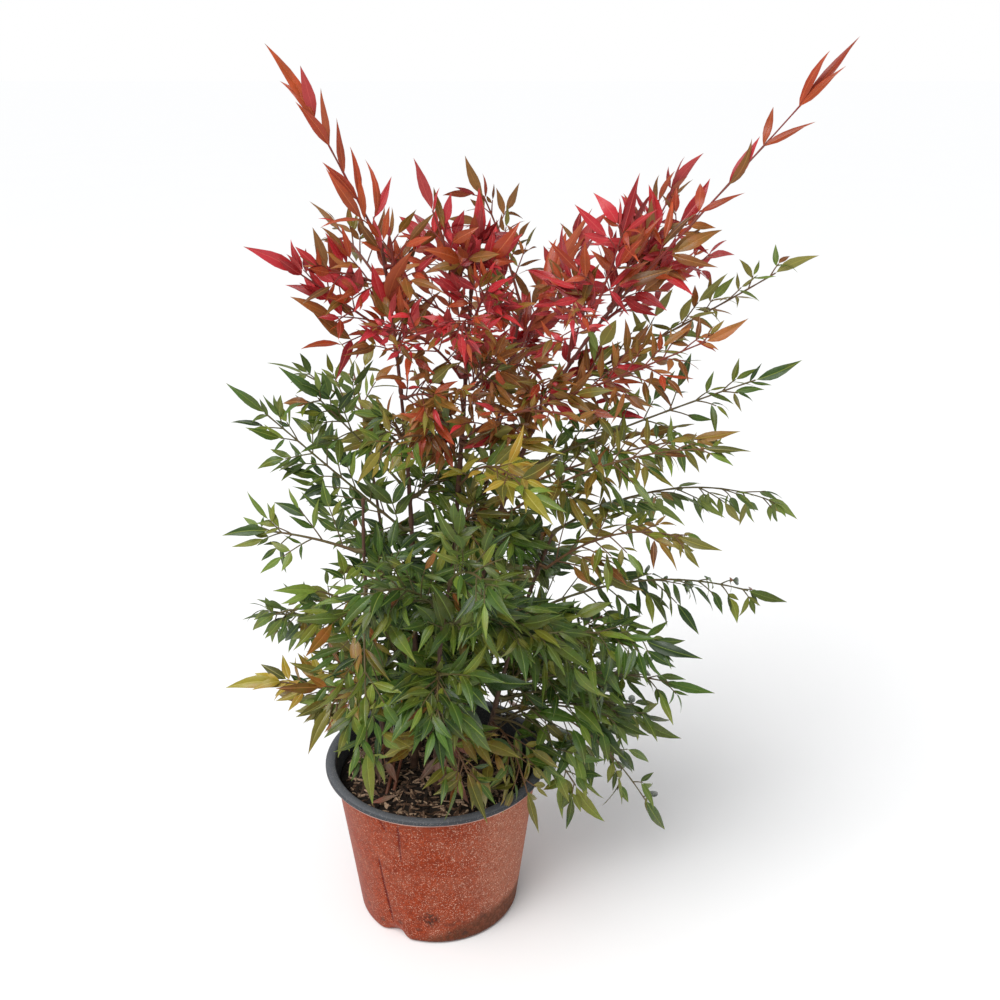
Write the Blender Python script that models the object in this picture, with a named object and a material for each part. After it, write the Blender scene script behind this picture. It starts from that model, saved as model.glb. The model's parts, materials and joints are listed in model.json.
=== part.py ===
"""Heavenly bamboo in a nursery pot: a clump of upright canes that carry compound leaves.

Run it with: blender --background --python part.py
Units are metres, +Z is up, and the origin is the centre of the pot's flat underside. -Y is the front.
"""

import math
import random
from collections import namedtuple

import bmesh
import bpy
import numpy as np
from mathutils import Vector
from mathutils.bvhtree import BVHTree

# Pot: a thin moulded nursery pot with a flanged rim and two fluted drain notches at its foot.
POT_HEIGHT = 0.145
RIM_RADIUS = 0.095
RIM_DEPTH = 0.006
RIM_EDGE = 0.001
WALL_TOP_RADIUS = 0.088
FOOT_RADIUS = 0.070
FOOT_ROUNDING = 0.005
WALL = 0.0012
FLUTE_COUNT = 2
FLUTE_FIRST = math.radians(-120)
FLUTE_HALF_WIDTH = math.radians(13)
FLUTE_STEPS = 4
PLAIN_STEPS = 16
NOTCH_DEPTH = 0.006
NOTCH_HEIGHT = 0.011
CREASE_DEPTH = 0.0025
CREASE_HEIGHT = 0.060

# Potting soil: fills the pot, flat where the canes stand and a little lower at the wall.
SOIL_TOP = 0.130
SOIL_EDGE_DROP = 0.005
SOIL_FLAT_RADIUS = 0.050

# Canes: thicker at the foot, with a short flare where each leaves the soil.
CANE_SIDES = 6
CANE_RINGS = 7
CANE_FOOT_RADIUS = 0.0042
CANE_TIP_RADIUS = 0.0015
CANE_FLARE = 1.35
CANE_FLARE_HEIGHT = 0.016

# A cane and a leaf stalk stand this far clear of what carries them.
GAP = 0.0003

# Compound leaves: a stalk with pairs of side arms. An arm is one leaflet or a twig that ends in three.
COLLAR = 0.004
STALK_RADIUS = 0.0016
STALK_TIP_RADIUS = 0.0010
TWIG_ROOT_RADIUS = 0.00045
TWIG_TIP_RADIUS = 0.0010
TWIG_SIDES = 3
STALK_STEP = 0.034
LINE_STEP = 0.003
BARE_SHARE = 0.22
LAST_PAIR = 0.975
ARM_SHARE = 0.62
ARM_VARIES = (0.8, 1.2)
SHORTEST_ARM = 0.42
ARM_SPREAD = (math.radians(44), math.radians(66))
SPREAD_LOSS = math.radians(12)
SPREAD_SEARCH = math.radians(3)
LIFT_VARIES = (0.5, 1.1)
LIFT_STRAY = (-0.35, 0.2)
# The flame-red shoots at the top are slender: their arms are shorter and lie closer to the stalk.
SLENDER = {"flame": 0.55}

# Leaflets.
SIDE_LENGTHS = (0.8, 1.0)
TRIO_SPREAD = (math.radians(42), math.radians(58))
TRIO_SIDE_LENGTHS = (0.7, 0.9)
SIDE_SINK = 0.0003
END_SINK = 0.0008
SIDE_LEAF_BACK = 0.0026
LEAF_WIDTH = 0.34
LEAF_THICKNESS = 0.024
LEAF_WIDEST = 0.40
LEAF_THICKEST = 0.16
FACE_ROLL = 0.5
NEARLY_UPRIGHT = 0.15
FLAT_OUTLOOK = 0.55
OPPOSED = 0.6
OUTLOOK_TURN = math.radians(35)
BACK_FROM = 0.04

# Own space: how far a leaflet stays from the next spray's space and from a cane, and how it is tried again.
SPACE_MARGIN = 0.0012
LIMB_MARGIN = 0.0012
CLEAR_ROOT = 0.004
TRIES = 10
SHORTER_EACH_TRY = 0.035

# Colours of the finishes, linear red, green and blue.
TINTS = {
    "terracotta": (0.46, 0.090, 0.040),
    "bark_soil": (0.060, 0.038, 0.024),
    "cane_bark": (0.16, 0.090, 0.055),
    "deep_green": (0.035, 0.110, 0.022),
    "fresh_green": (0.085, 0.200, 0.035),
    "olive": (0.180, 0.190, 0.045),
    "gold": (0.420, 0.330, 0.050),
    "bronze": (0.260, 0.095, 0.035),
    "flame": (0.440, 0.075, 0.030),
    "crimson": (0.420, 0.018, 0.030),
}

Cane = namedtuple("Cane", "name foot knee tip")
# A cane leaves the soil at foot, heads for its knee and ends at its tip.
CANES = [
    Cane("cane_centre", (0.002, 0.008), (0.020, 0.010, 0.36), (0.034, 0.010, 0.545)),
    Cane("cane_left", (-0.020, 0.002), (-0.006, 0.000, 0.38), (-0.030, 0.000, 0.575)),
    Cane("cane_right", (0.019, -0.003), (0.030, 0.000, 0.42), (0.152, 0.000, 0.548)),
    Cane("cane_back", (0.014, 0.030), (0.030, 0.048, 0.34), (0.072, 0.066, 0.515)),
    Cane("cane_back_left", (-0.017, 0.030), (-0.038, 0.050, 0.26), (-0.058, 0.082, 0.410)),
    Cane("cane_low_left", (-0.036, -0.014), (-0.056, -0.022, 0.26), (-0.048, -0.034, 0.395)),
    Cane("cane_low_right", (0.038, -0.010), (0.056, -0.016, 0.25), (0.096, -0.020, 0.360)),
    Cane("cane_front", (0.003, -0.030), (0.000, -0.046, 0.24), (0.018, -0.078, 0.345)),
]

TOP = "tip"
Spray = namedtuple("Spray", "name cane height tip arch pairs leaflet lift tint")
# A spray is one compound leaf. It leaves its cane at this height, or at the cane's tip, and its end leaflet
# ends at tip. arch is how far its middle rises over the straight line. pairs counts the pairs of side arms,
# leaflet is the end leaflet's length and lift is how far the side arms turn up (or, below 0, hang).
SPRAYS = [
    Spray("shoot_left", "cane_left", TOP, (-0.101, 0.000, 0.717), 0.004, 4, 0.042, 0.4, "flame"),
    Spray("plume_left", "cane_left", 0.515, (-0.121, -0.030, 0.586), 0.000, 3, 0.040, 0.4, "crimson"),
    Spray("plume_left_upper", "cane_left", 0.548, (-0.088, 0.060, 0.600), 0.006, 3, 0.040, 0.3, "bronze"),
    Spray("centre_left_shoot", "cane_centre", 0.530, (-0.006, -0.022, 0.643), 0.004, 3, 0.044, 0.5, "crimson"),
    Spray("centre_shoot", "cane_centre", TOP, (0.044, 0.020, 0.618), 0.000, 3, 0.034, 0.6, "crimson"),
    Spray("arching_shoot", "cane_back", TOP, (0.024, 0.062, 0.634), 0.034, 3, 0.042, 0.3, "bronze"),
    Spray("centre_right_shoot", "cane_back", 0.490, (0.126, 0.080, 0.597), 0.002, 4, 0.040, 0.4, "flame"),
    Spray("red_core_left", "cane_centre", 0.478, (-0.040, -0.095, 0.532), 0.035, 4, 0.050, -0.1, "crimson"),
    Spray("red_core_front", "cane_centre", 0.500, (0.030, -0.120, 0.524), 0.045, 4, 0.052, -0.1, "crimson"),
    Spray("red_core_right", "cane_right", 0.492, (0.106, -0.100, 0.548), 0.030, 4, 0.050, 0.0, "crimson"),
    Spray("red_core_back", "cane_back", 0.505, (0.020, 0.150, 0.560), 0.000, 3, 0.046, 0.1, "crimson"),
    Spray("shoot_right", "cane_right", TOP, (0.301, 0.000, 0.719), -0.004, 4, 0.052, 0.3, "flame"),
    Spray("red_high_right", "cane_right", 0.535, (0.202, 0.062, 0.641), 0.000, 3, 0.046, 0.4, "crimson"),
    Spray("red_mid_right", "cane_right", 0.515, (0.150, -0.036, 0.630), 0.000, 3, 0.046, 0.3, "crimson"),
    Spray("red_back_right", "cane_back", 0.468, (0.140, 0.130, 0.590), 0.004, 3, 0.046, 0.3, "crimson"),
    Spray("red_side_right", "cane_right", 0.524, (0.243, 0.092, 0.562), 0.010, 3, 0.042, 0.2, "crimson"),
    Spray("olive_high_right", "cane_right", 0.478, (0.296, 0.046, 0.568), -0.010, 4, 0.044, 0.3, "olive"),
    Spray("bronze_side_right", "cane_right", 0.465, (0.229, -0.050, 0.532), -0.004, 4, 0.050, 0.1, "bronze"),
    Spray("bronze_front", "cane_centre", 0.430, (0.112, -0.146, 0.488), 0.030, 4, 0.050, 0.0, "bronze"),
    Spray("green_high_right", "cane_right", 0.410, (0.277, -0.026, 0.497), 0.004, 4, 0.044, 0.2, "fresh_green"),
    Spray("olive_front_right", "cane_right", 0.372, (0.229, -0.085, 0.450), 0.036, 5, 0.048, -0.1, "olive"),
    Spray("green_tip_right", "cane_low_right", TOP, (0.308, 0.056, 0.346), 0.060, 4, 0.050, -0.2, "fresh_green"),
    Spray("green_side_right", "cane_low_right", 0.334, (0.214, -0.086, 0.372), 0.046, 4, 0.050, -0.2, "olive"),
    Spray("green_long_right", "cane_low_right", 0.292, (0.288, -0.018, 0.296), 0.052, 4, 0.046, -0.2, "deep_green"),
    Spray("green_mid_right", "cane_low_right", 0.262, (0.202, -0.102, 0.292), 0.036, 4, 0.048, -0.2, "deep_green"),
    Spray("green_low_right", "cane_low_right", 0.225, (0.225, -0.060, 0.238), 0.030, 4, 0.044, -0.1, "deep_green"),
    Spray("droop_right", "cane_low_right", 0.196, (0.206, 0.006, 0.050), 0.090, 4, 0.046, -0.1, "fresh_green"),
    Spray("skirt_right", "cane_low_right", 0.172, (0.140, 0.056, 0.078), 0.080, 3, 0.040, -0.1, "fresh_green"),
    Spray("front_hanging", "cane_low_left", 0.318, (-0.040, -0.146, 0.196), 0.085, 3, 0.060, -0.1, "fresh_green"),
    Spray("front_middle", "cane_front", 0.262, (0.012, -0.160, 0.236), 0.050, 4, 0.056, -0.1, "deep_green"),
    Spray("front_low", "cane_front", 0.206, (0.044, -0.116, 0.158), 0.030, 3, 0.056, -0.1, "olive"),
    Spray("front_right", "cane_front", 0.300, (0.122, -0.134, 0.300), 0.050, 4, 0.056, -0.1, "deep_green"),
    Spray("front_top", "cane_front", TOP, (0.060, -0.172, 0.362), 0.040, 4, 0.056, -0.1, "deep_green"),
    Spray("inner_left", "cane_front", 0.322, (-0.062, -0.118, 0.330), 0.045, 4, 0.052, -0.1, "deep_green"),
    Spray("droop_left", "cane_low_left", 0.232, (-0.098, -0.086, 0.204), 0.030, 3, 0.050, -0.1, "olive"),
    Spray("yellow_left", "cane_low_left", 0.208, (-0.173, -0.020, 0.229), 0.014, 4, 0.042, 0.0, "gold"),
    Spray("low_left", "cane_low_left", 0.268, (-0.168, 0.058, 0.246), 0.022, 3, 0.042, 0.0, "deep_green"),
    Spray("side_left", "cane_low_left", 0.300, (-0.117, -0.054, 0.332), 0.010, 4, 0.048, 0.0, "fresh_green"),
    Spray("long_left", "cane_low_left", 0.350, (-0.158, -0.036, 0.371), 0.010, 4, 0.048, 0.0, "fresh_green"),
    Spray("high_left", "cane_left", 0.355, (-0.153, 0.004, 0.477), -0.004, 4, 0.044, 0.2, "deep_green"),
    Spray("high_left_front", "cane_left", 0.395, (-0.098, -0.050, 0.503), 0.000, 3, 0.044, 0.3, "deep_green"),
    Spray("high_left_back", "cane_left", 0.425, (-0.134, 0.082, 0.472), 0.016, 3, 0.044, 0.1, "fresh_green"),
    Spray("gold_front", "cane_centre", 0.392, (0.084, -0.166, 0.430), 0.050, 4, 0.056, 0.0, "gold"),
    Spray("olive_front_left", "cane_centre", 0.415, (-0.040, -0.128, 0.446), 0.045, 4, 0.050, -0.1, "olive"),
    Spray("back_top", "cane_back", 0.420, (0.100, 0.178, 0.486), 0.016, 3, 0.050, 0.1, "bronze"),
    Spray("back_side_right", "cane_back", 0.345, (0.176, 0.138, 0.400), 0.030, 4, 0.050, -0.1, "fresh_green"),
    Spray("back_low_right", "cane_back", 0.270, (0.140, 0.126, 0.270), 0.030, 4, 0.048, -0.1, "olive"),
    Spray("back_middle", "cane_back", 0.308, (0.014, 0.174, 0.348), 0.030, 4, 0.050, -0.1, "deep_green"),
    Spray("back_high_left", "cane_back_left", TOP, (-0.084, 0.158, 0.470), 0.016, 4, 0.050, 0.1, "olive"),
    Spray("back_low_left", "cane_back_left", 0.290, (-0.110, 0.124, 0.316), 0.024, 3, 0.048, 0.0, "fresh_green"),
]


def finish(tint, roughness=0.5):
    """A plain material in one of the plant's colours."""
    material = bpy.data.materials.get(tint) or bpy.data.materials.new(tint)
    material.use_nodes = True
    shader = material.node_tree.nodes["Principled BSDF"]
    shader.inputs["Base Color"].default_value = (*TINTS[tint], 1)
    shader.inputs["Roughness"].default_value = roughness
    shader.inputs["Metallic"].default_value = 0
    material.diffuse_color = (*TINTS[tint], 1)
    return material


def add_object(name, mesh, material=None, collection=None):
    body = bpy.data.objects.new(name, mesh)
    (collection or bpy.context.scene.collection).objects.link(body)
    if material:
        mesh.materials.clear()
        mesh.materials.append(material)
    return body


def mesh_of(name, points, faces):
    mesh = bpy.data.meshes.new(name)
    mesh.from_pydata([tuple(p) for p in points], [], faces)
    mesh.update()
    return mesh


def drawn_in(angle, height):
    """How far the pot's wall is drawn in here: a notch in its foot with a crease that fades above it."""
    pitch = 2 * math.pi / FLUTE_COUNT
    off = (angle - FLUTE_FIRST + pitch / 2) % pitch - pitch / 2
    if abs(off) >= FLUTE_HALF_WIDTH:
        return 0.0
    across = math.cos(off / FLUTE_HALF_WIDTH * math.pi / 2) ** 2
    notch = NOTCH_DEPTH * max(0, 1 - height / NOTCH_HEIGHT)
    return across * (notch + CREASE_DEPTH * max(0, 1 - height / CREASE_HEIGHT))


def ring_angles():
    """The angles of the pot's upright edges, closer together over the notches."""
    pitch = 2 * math.pi / FLUTE_COUNT
    angles = []
    for k in range(FLUTE_COUNT):
        start = FLUTE_FIRST + pitch * k - FLUTE_HALF_WIDTH
        angles += [start + 2 * FLUTE_HALF_WIDTH * i / FLUTE_STEPS for i in range(FLUTE_STEPS)]
        plain = pitch - 2 * FLUTE_HALF_WIDTH
        angles += [start + 2 * FLUTE_HALF_WIDTH + plain * i / PLAIN_STEPS for i in range(PLAIN_STEPS)]
    return angles


def wall_radius(height):
    """The plain cone of the pot's outer wall."""
    return FOOT_RADIUS + (WALL_TOP_RADIUS - FOOT_RADIUS) * height / POT_HEIGHT


def turned(name, profile, material):
    """A closed body turned round the Z axis from a list of (radius, height), with the foot notches drawn in."""
    angles = ring_angles()
    sides = len(angles)
    points, faces = [(0, 0, profile[0][1])], []
    for radius, height in profile[1:-1]:
        for angle in angles:
            reach = radius - drawn_in(angle, height)
            points.append((reach * math.cos(angle), reach * math.sin(angle), height))
    points.append((0, 0, profile[-1][1]))
    last = len(points) - 1
    for ring in range(len(profile) - 3):
        rises = profile[ring + 2][1] >= profile[ring + 1][1]
        for i in range(sides):
            a, b = 1 + ring * sides + i, 1 + ring * sides + (i + 1) % sides
            c, d = b + sides, a + sides
            # Both walls split their quads along the same upright diagonal, so that they stay parallel.
            faces += [(a, b, c), (a, c, d)] if rises else [(a, b, d), (b, c, d)]
    for i in range(sides):
        j = (i + 1) % sides
        faces.append((0, 1 + j, 1 + i))
        faces.append((last, last - sides + i, last - sides + j))
    mesh = mesh_of(name, points, faces)
    mesh.shade_smooth()
    mesh.set_sharp_from_angle(angle=math.radians(35))
    return add_object(name, mesh, material)


def build_pot():
    under_rim = POT_HEIGHT - RIM_DEPTH
    outside = [
        (0, 0),
        (FOOT_RADIUS - FOOT_ROUNDING, 0),
        (wall_radius(0) - FOOT_ROUNDING / 4, FOOT_ROUNDING / 4),
        (wall_radius(FOOT_ROUNDING), FOOT_ROUNDING),
        (wall_radius(NOTCH_HEIGHT), NOTCH_HEIGHT),
        (wall_radius(CREASE_HEIGHT), CREASE_HEIGHT),
        (wall_radius(under_rim), under_rim),
        (RIM_RADIUS - RIM_EDGE, under_rim),
        (RIM_RADIUS, under_rim + RIM_EDGE),
        (RIM_RADIUS, POT_HEIGHT - RIM_EDGE),
        (RIM_RADIUS - RIM_EDGE, POT_HEIGHT),
        (wall_radius(POT_HEIGHT) - WALL + RIM_EDGE, POT_HEIGHT),
    ]
    inside = [
        (wall_radius(POT_HEIGHT) - WALL, POT_HEIGHT - RIM_EDGE),
        (wall_radius(CREASE_HEIGHT) - WALL, CREASE_HEIGHT),
        (wall_radius(NOTCH_HEIGHT) - WALL, NOTCH_HEIGHT),
        (wall_radius(FOOT_ROUNDING) - WALL, FOOT_ROUNDING),
        (FOOT_RADIUS - FOOT_ROUNDING, WALL),
        (0, WALL),
    ]
    return turned("pot", outside + inside, finish("terracotta", 0.6))


def build_soil():
    edge = SOIL_TOP - SOIL_EDGE_DROP
    profile = [
        (0, WALL + GAP),
        (FOOT_RADIUS - FOOT_ROUNDING - GAP, WALL + GAP),
        *[(wall_radius(h) - WALL - GAP, h) for h in (FOOT_ROUNDING + GAP, NOTCH_HEIGHT, CREASE_HEIGHT, edge)],
        (SOIL_FLAT_RADIUS, SOIL_TOP),
        (0, SOIL_TOP),
    ]
    return turned("potting_soil", profile, finish("bark_soil", 0.9))


def bend(start, knee, end, share):
    """A point on the curve that leaves start towards knee and ends at end."""
    return start * (1 - share) ** 2 + knee * (2 * share * (1 - share)) + end * share**2


def tube(points, radii, sides, across, first_normal=None):
    """A closed tube of flat sides along points, as (points, faces). One of its edges faces across."""
    rings, faces = [], []
    for i, (here, radius) in enumerate(zip(points, radii)):
        back = points[max(i - 1, 0)]
        ahead = points[min(i + 1, len(points) - 1)]
        along = (ahead - back).normalized()
        if i == 0 and first_normal is not None:
            along = first_normal
        across = (across - along * across.dot(along)).normalized()
        up = along.cross(across)
        for k in range(sides):
            angle = 2 * math.pi * k / sides
            rings.append(here + (across * math.cos(angle) + up * math.sin(angle)) * radius)
    for i in range(len(points) - 1):
        for k in range(sides):
            j = (k + 1) % sides
            low, high = i * sides, (i + 1) * sides
            faces.append((low + k, low + j, high + j, high + k))
    faces.append(tuple(reversed(range(sides))))
    faces.append(tuple(range(len(rings) - sides, len(rings))))
    return rings, faces


def cane_line(cane):
    """The cane's centre line from the soil up, as points, and its radius at each."""
    foot = Vector((*cane.foot, SOIL_TOP + GAP))
    flare_share = CANE_FLARE_HEIGHT / (2 * (cane.knee[2] - foot.z))
    shares = [0, flare_share] + [k / (CANE_RINGS - 1) for k in range(1, CANE_RINGS)]
    points = [bend(foot, Vector(cane.knee), Vector(cane.tip), s) for s in shares]
    radii = []
    for point, share in zip(points, shares):
        radius = CANE_FOOT_RADIUS + (CANE_TIP_RADIUS - CANE_FOOT_RADIUS) * share
        near_soil = max(0, 1 - (point.z - foot.z) / CANE_FLARE_HEIGHT)
        radii.append(radius * (1 + (CANE_FLARE - 1) * near_soil))
    return points, radii


def build_cane(cane):
    points, radii = cane_line(cane)
    rings, faces = tube(points, radii, CANE_SIDES, Vector((1, 0, 0)), Vector((0, 0, 1)))
    mesh = mesh_of(cane.name, rings, faces)
    mesh.shade_smooth()
    mesh.set_sharp_from_angle(angle=math.radians(60))
    return add_object(cane.name, mesh, finish("cane_bark", 0.7))


def place_on_cane(cane, height):
    """Where a stalk at this height meets the cane's centre line: the point, the cane's direction and its radius."""
    points, radii = cane_line(cane)
    if height == TOP:
        return points[-1], (points[-1] - points[-2]).normalized(), radii[-1]
    for low, high, thick, thin in zip(points, points[1:], radii, radii[1:]):
        if low.z <= height <= high.z:
            share = (height - low.z) / (high.z - low.z)
            return low.lerp(high, share), (high - low).normalized(), thick + (thin - thick) * share
    raise ValueError(f"{cane.name} doesn't reach {height}")


def stalk_line(spray):
    """The line that a compound leaf follows, from the cane's bark to the tip of its end leaflet."""
    cane = next(c for c in CANES if c.name == spray.cane)
    centre, along, radius = place_on_cane(cane, spray.height)
    tip = Vector(spray.tip)
    knee = centre.lerp(tip, 0.5) + Vector((0, 0, spray.arch))
    if spray.height == TOP:
        out = along
        start = centre + out * GAP
        collar = start + (out + (knee - start).normalized()) * (COLLAR / 2)
    else:
        towards = knee - centre
        out = (towards - along * towards.dot(along)).normalized()
        start = centre + out * (radius + GAP)
        collar = start + out * COLLAR
    steps = max(3, round((tip - collar).length / STALK_STEP))
    return [start] + [bend(collar, knee, tip, k / steps) for k in range(steps + 1)], out


def arc_lengths(points):
    lengths = [0.0]
    for a, b in zip(points, points[1:]):
        lengths.append(lengths[-1] + (b - a).length)
    return lengths


def at_length(points, lengths, wanted):
    """The point and the direction at this distance along a line."""
    for i in range(len(points) - 1):
        if wanted <= lengths[i + 1] or i == len(points) - 2:
            share = (wanted - lengths[i]) / (lengths[i + 1] - lengths[i])
            return points[i].lerp(points[i + 1], min(1, share)), (points[i + 1] - points[i]).normalized()


def leaflet_body(root, along, face, length, sink):
    """One leaflet as eight faces: a long diamond, thickest near its root, which is sunk past the twig's middle."""
    side = along.cross(face).normalized()
    up = side.cross(along)
    start = root - along * sink
    reach = length + sink
    widest = start + along * (reach * LEAF_WIDEST)
    thickest = start + along * (reach * LEAF_THICKEST)
    half = side * (length * LEAF_WIDTH / 2)
    thick = up * (length * LEAF_THICKNESS / 2)
    points = [start, start + along * reach, widest - half, widest + half, thickest + thick, thickest - thick]
    faces = [(0, 4, 2), (0, 3, 4), (0, 2, 5), (0, 5, 3), (1, 2, 4), (1, 4, 3), (1, 5, 2), (1, 3, 5)]
    return points, faces


def samples(points):
    """The samples array of some vectors."""
    return np.array([tuple(p) for p in points])


def all_lines():
    """Sample points of every spray's own line and of every cane, for the tests of space."""
    own, owner = [], []
    for number, spray in enumerate(SPRAYS):
        line, _ = stalk_line(spray)
        for a, b in zip(line, line[1:]):
            count = math.ceil((b - a).length / LINE_STEP)
            for k in range(count):
                own.append(a.lerp(b, k / count))
                owner.append(number)
        own.append(line[-1])
        owner.append(number)
    bark, thickness = [], []
    for cane in CANES:
        points, radii = cane_line(cane)
        for a, b, ra, rb in zip(points, points[1:], radii, radii[1:]):
            count = math.ceil((b - a).length / LINE_STEP)
            for k in range(count + 1):
                bark.append(a.lerp(b, k / count))
                thickness.append(ra + (rb - ra) * k / count)
    return samples(own), np.array(owner), samples(bark), np.array(thickness)


LINES, LINE_OWNER, BARK, BARK_RADIUS = all_lines()


def keeps_its_space(number, points):
    """True if these points lie nearer to this spray's own line than to any other's, and clear of every cane."""
    here = samples(points)
    reach = np.linalg.norm(here[:, None] - LINES[None], axis=2)
    own = reach[:, LINE_OWNER == number].min(axis=1)
    other = reach[:, LINE_OWNER != number].min(axis=1)
    if (own + 2 * SPACE_MARGIN > other).any():
        return False
    bark = (np.linalg.norm(here[:, None] - BARK[None], axis=2) - BARK_RADIUS).min(axis=1)
    pot = np.hypot(here[:, 0], here[:, 1])
    low = (here[:, 2] < POT_HEIGHT + LIMB_MARGIN) & (pot < RIM_RADIUS + LIMB_MARGIN)
    return (bark > LIMB_MARGIN).all() and not low.any()


def leaflet_samples(body):
    start, tip, left, right, over, under = body[0]
    return [tip, left, right, over, under, left.lerp(tip, 0.5), right.lerp(tip, 0.5), over.lerp(tip, 0.4)]


def upright_frame(along):
    """The side and the upper face of a flat leaf that heads along."""
    side = along.cross(Vector((0, 0, 1)))
    side = side.normalized() if side.length > NEARLY_UPRIGHT else Vector((1, 0, 0))
    return side, side.cross(along).normalized()


def lit_frame(along, outlook):
    """The same, with its face turned towards its outlook, and more so where it heads up."""
    up = upright_frame(along)[1]
    flat = outlook - along * outlook.dot(along)
    if flat.dot(up) < -OPPOSED * flat.length:
        flat.negate()
    share = FLAT_OUTLOOK + (1 - FLAT_OUTLOOK) * abs(along.z)
    face = (up * (1 - share) + flat * share).normalized()
    return along.cross(face).normalized(), face


def outlook_of(spray, chance):
    """A spray faces the light in front of the plant, or behind it where it stands at the back."""
    turn = chance.uniform(-OUTLOOK_TURN, OUTLOOK_TURN)
    ahead = 1 if spray.tip[1] > BACK_FROM else -1
    return Vector((math.sin(turn), ahead * math.cos(turn), 0))


class Grown:
    """What one spray has grown so far: its bodies, and the blades that a new leaflet must not cross."""

    def __init__(self, number):
        self.number = number
        self.bodies = []
        self.blades = []

    def add_twig(self, points, radii, up, first_normal=None):
        self.bodies.append(tube(points, radii, TWIG_SIDES, up, first_normal))

    def add_leaf(self, root, along, face, length, sink):
        """Adds a leaflet, unless it leaves the spray's own space, touches a cane or crosses another leaflet."""
        along = along.normalized()
        body = leaflet_body(root, along, face, length, sink)
        if not keeps_its_space(self.number, leaflet_samples(body)):
            return False
        blade = BVHTree.FromPolygons(*leaflet_body(root + along * CLEAR_ROOT, along, face, length - CLEAR_ROOT, 0))
        if any(blade.overlap(other) for other in self.blades):
            return False
        self.bodies.append(body)
        self.blades.append(blade)
        return True


def grow(number, spray):
    """The twigs and the leaflets of one spray, by the seeded rule that the whole plant follows."""
    chance = random.Random(number + 1)
    grown = Grown(number)
    line, out = stalk_line(spray)
    lengths = arc_lengths(line)
    stalk_end = lengths[-1] - spray.leaflet
    points = [point for point, reach in zip(line, lengths) if reach < stalk_end - COLLAR]
    points.append(at_length(line, lengths, stalk_end)[0])
    radii = [STALK_RADIUS + (STALK_TIP_RADIUS - STALK_RADIUS) * k / (len(points) - 1) for k in range(len(points))]
    grown.add_twig(points, radii, upright_frame(out)[1], out)
    end_leaf = line[-1] - points[-1]
    slender = SLENDER.get(spray.tint, 1)
    outlook = outlook_of(spray, chance)
    grown.add_leaf(points[-1], end_leaf, lit_frame(end_leaf.normalized(), outlook)[1], end_leaf.length, END_SINK)
    for pair in range(spray.pairs + 1):
        share = pair / spray.pairs
        node, along = at_length(line, lengths, stalk_end * (BARE_SHARE + (LAST_PAIR - BARE_SHARE) * share))
        side, face = lit_frame(along, outlook)
        for hand in (-1, 1):
            for attempt in range(TRIES):
                spread = (chance.uniform(*ARM_SPREAD) - SPREAD_LOSS * share) * slender
                spread += attempt * chance.uniform(-SPREAD_SEARCH, SPREAD_SEARCH)
                turn = spray.lift * chance.uniform(*LIFT_VARIES) + chance.uniform(*LIFT_STRAY)
                heading = along * math.cos(spread) + side * (hand * math.sin(spread)) + face * turn
                heading.normalize()
                length = spray.leaflet * chance.uniform(*SIDE_LENGTHS) * (1 - SHORTER_EACH_TRY * attempt)
                arm = spray.leaflet * ARM_SHARE * slender * (1 - share) * chance.uniform(*ARM_VARIES)
                rolled = (face + side * chance.uniform(-FACE_ROLL, FACE_ROLL)).normalized()
                if grow_arm(grown, node, heading, rolled, arm, length, chance):
                    break
    return grown


def grow_arm(grown, node, heading, face, arm, length, chance):
    """A side arm: one leaflet, or a twig that ends in up to three. False if none would keep its space."""
    if arm < length * SHORTEST_ARM:
        return grown.add_leaf(node, heading, face, length, SIDE_SINK)
    end = node + heading * arm
    if not keeps_its_space(grown.number, [node.lerp(end, 0.6), end + heading * STALK_RADIUS]):
        return False
    side = heading.cross(face).normalized()
    leaves = 0
    for hand in (0, -1, 1):
        spread = hand * chance.uniform(*TRIO_SPREAD)
        along = heading * math.cos(spread) + side * math.sin(spread)
        if hand == 0:
            leaves += grown.add_leaf(end, along, face, length, END_SINK)
        else:
            root = end - heading * SIDE_LEAF_BACK
            leaves += grown.add_leaf(root, along, face, length * chance.uniform(*TRIO_SIDE_LENGTHS), SIDE_SINK)
    if leaves:
        grown.add_twig([node, end], [TWIG_ROOT_RADIUS, TWIG_TIP_RADIUS], face)
    return leaves > 0


def largest_shell(mesh):
    """Deletes every loose scrap of a fused mesh and keeps its one body, as triangles."""
    shape = bmesh.new()
    shape.from_mesh(mesh)
    bmesh.ops.triangulate(shape, faces=shape.faces)
    shape.verts.ensure_lookup_table()
    left, shells = set(shape.verts), []
    while left:
        queue = [left.pop()]
        shell = set(queue)
        while queue:
            for edge in queue.pop().link_edges:
                for vert in edge.verts:
                    if vert in left:
                        left.discard(vert)
                        shell.add(vert)
                        queue.append(vert)
        shells.append(shell)
    keep = max(shells, key=len)
    bmesh.ops.delete(shape, geom=[v for v in shape.verts if v not in keep], context="VERTS")
    shape.to_mesh(mesh)
    shape.free()


def fuse(name, bodies, material):
    """One closed body from overlapping bodies, joined by one Boolean union on a collection."""
    parts = bpy.data.collections.new(name + "_parts")
    bpy.context.scene.collection.children.link(parts)
    for k, (points, faces) in enumerate(bodies[1:]):
        add_object(f"{name}_{k}", mesh_of(f"{name}_{k}", points, faces), collection=parts)
    body = add_object(name, mesh_of(name, *bodies[0]), material)
    union = body.modifiers.new("union", "BOOLEAN")
    union.operation = "UNION"
    union.operand_type = "COLLECTION"
    union.collection = parts
    union.solver = "MANIFOLD"
    graph = bpy.context.evaluated_depsgraph_get()
    fused = bpy.data.meshes.new_from_object(body.evaluated_get(graph))
    body.modifiers.clear()
    body.data = fused
    largest_shell(fused)
    fused.materials.clear()
    fused.materials.append(material)
    for part in list(parts.objects):
        bpy.data.objects.remove(part)
    bpy.data.collections.remove(parts)
    return body


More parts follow.
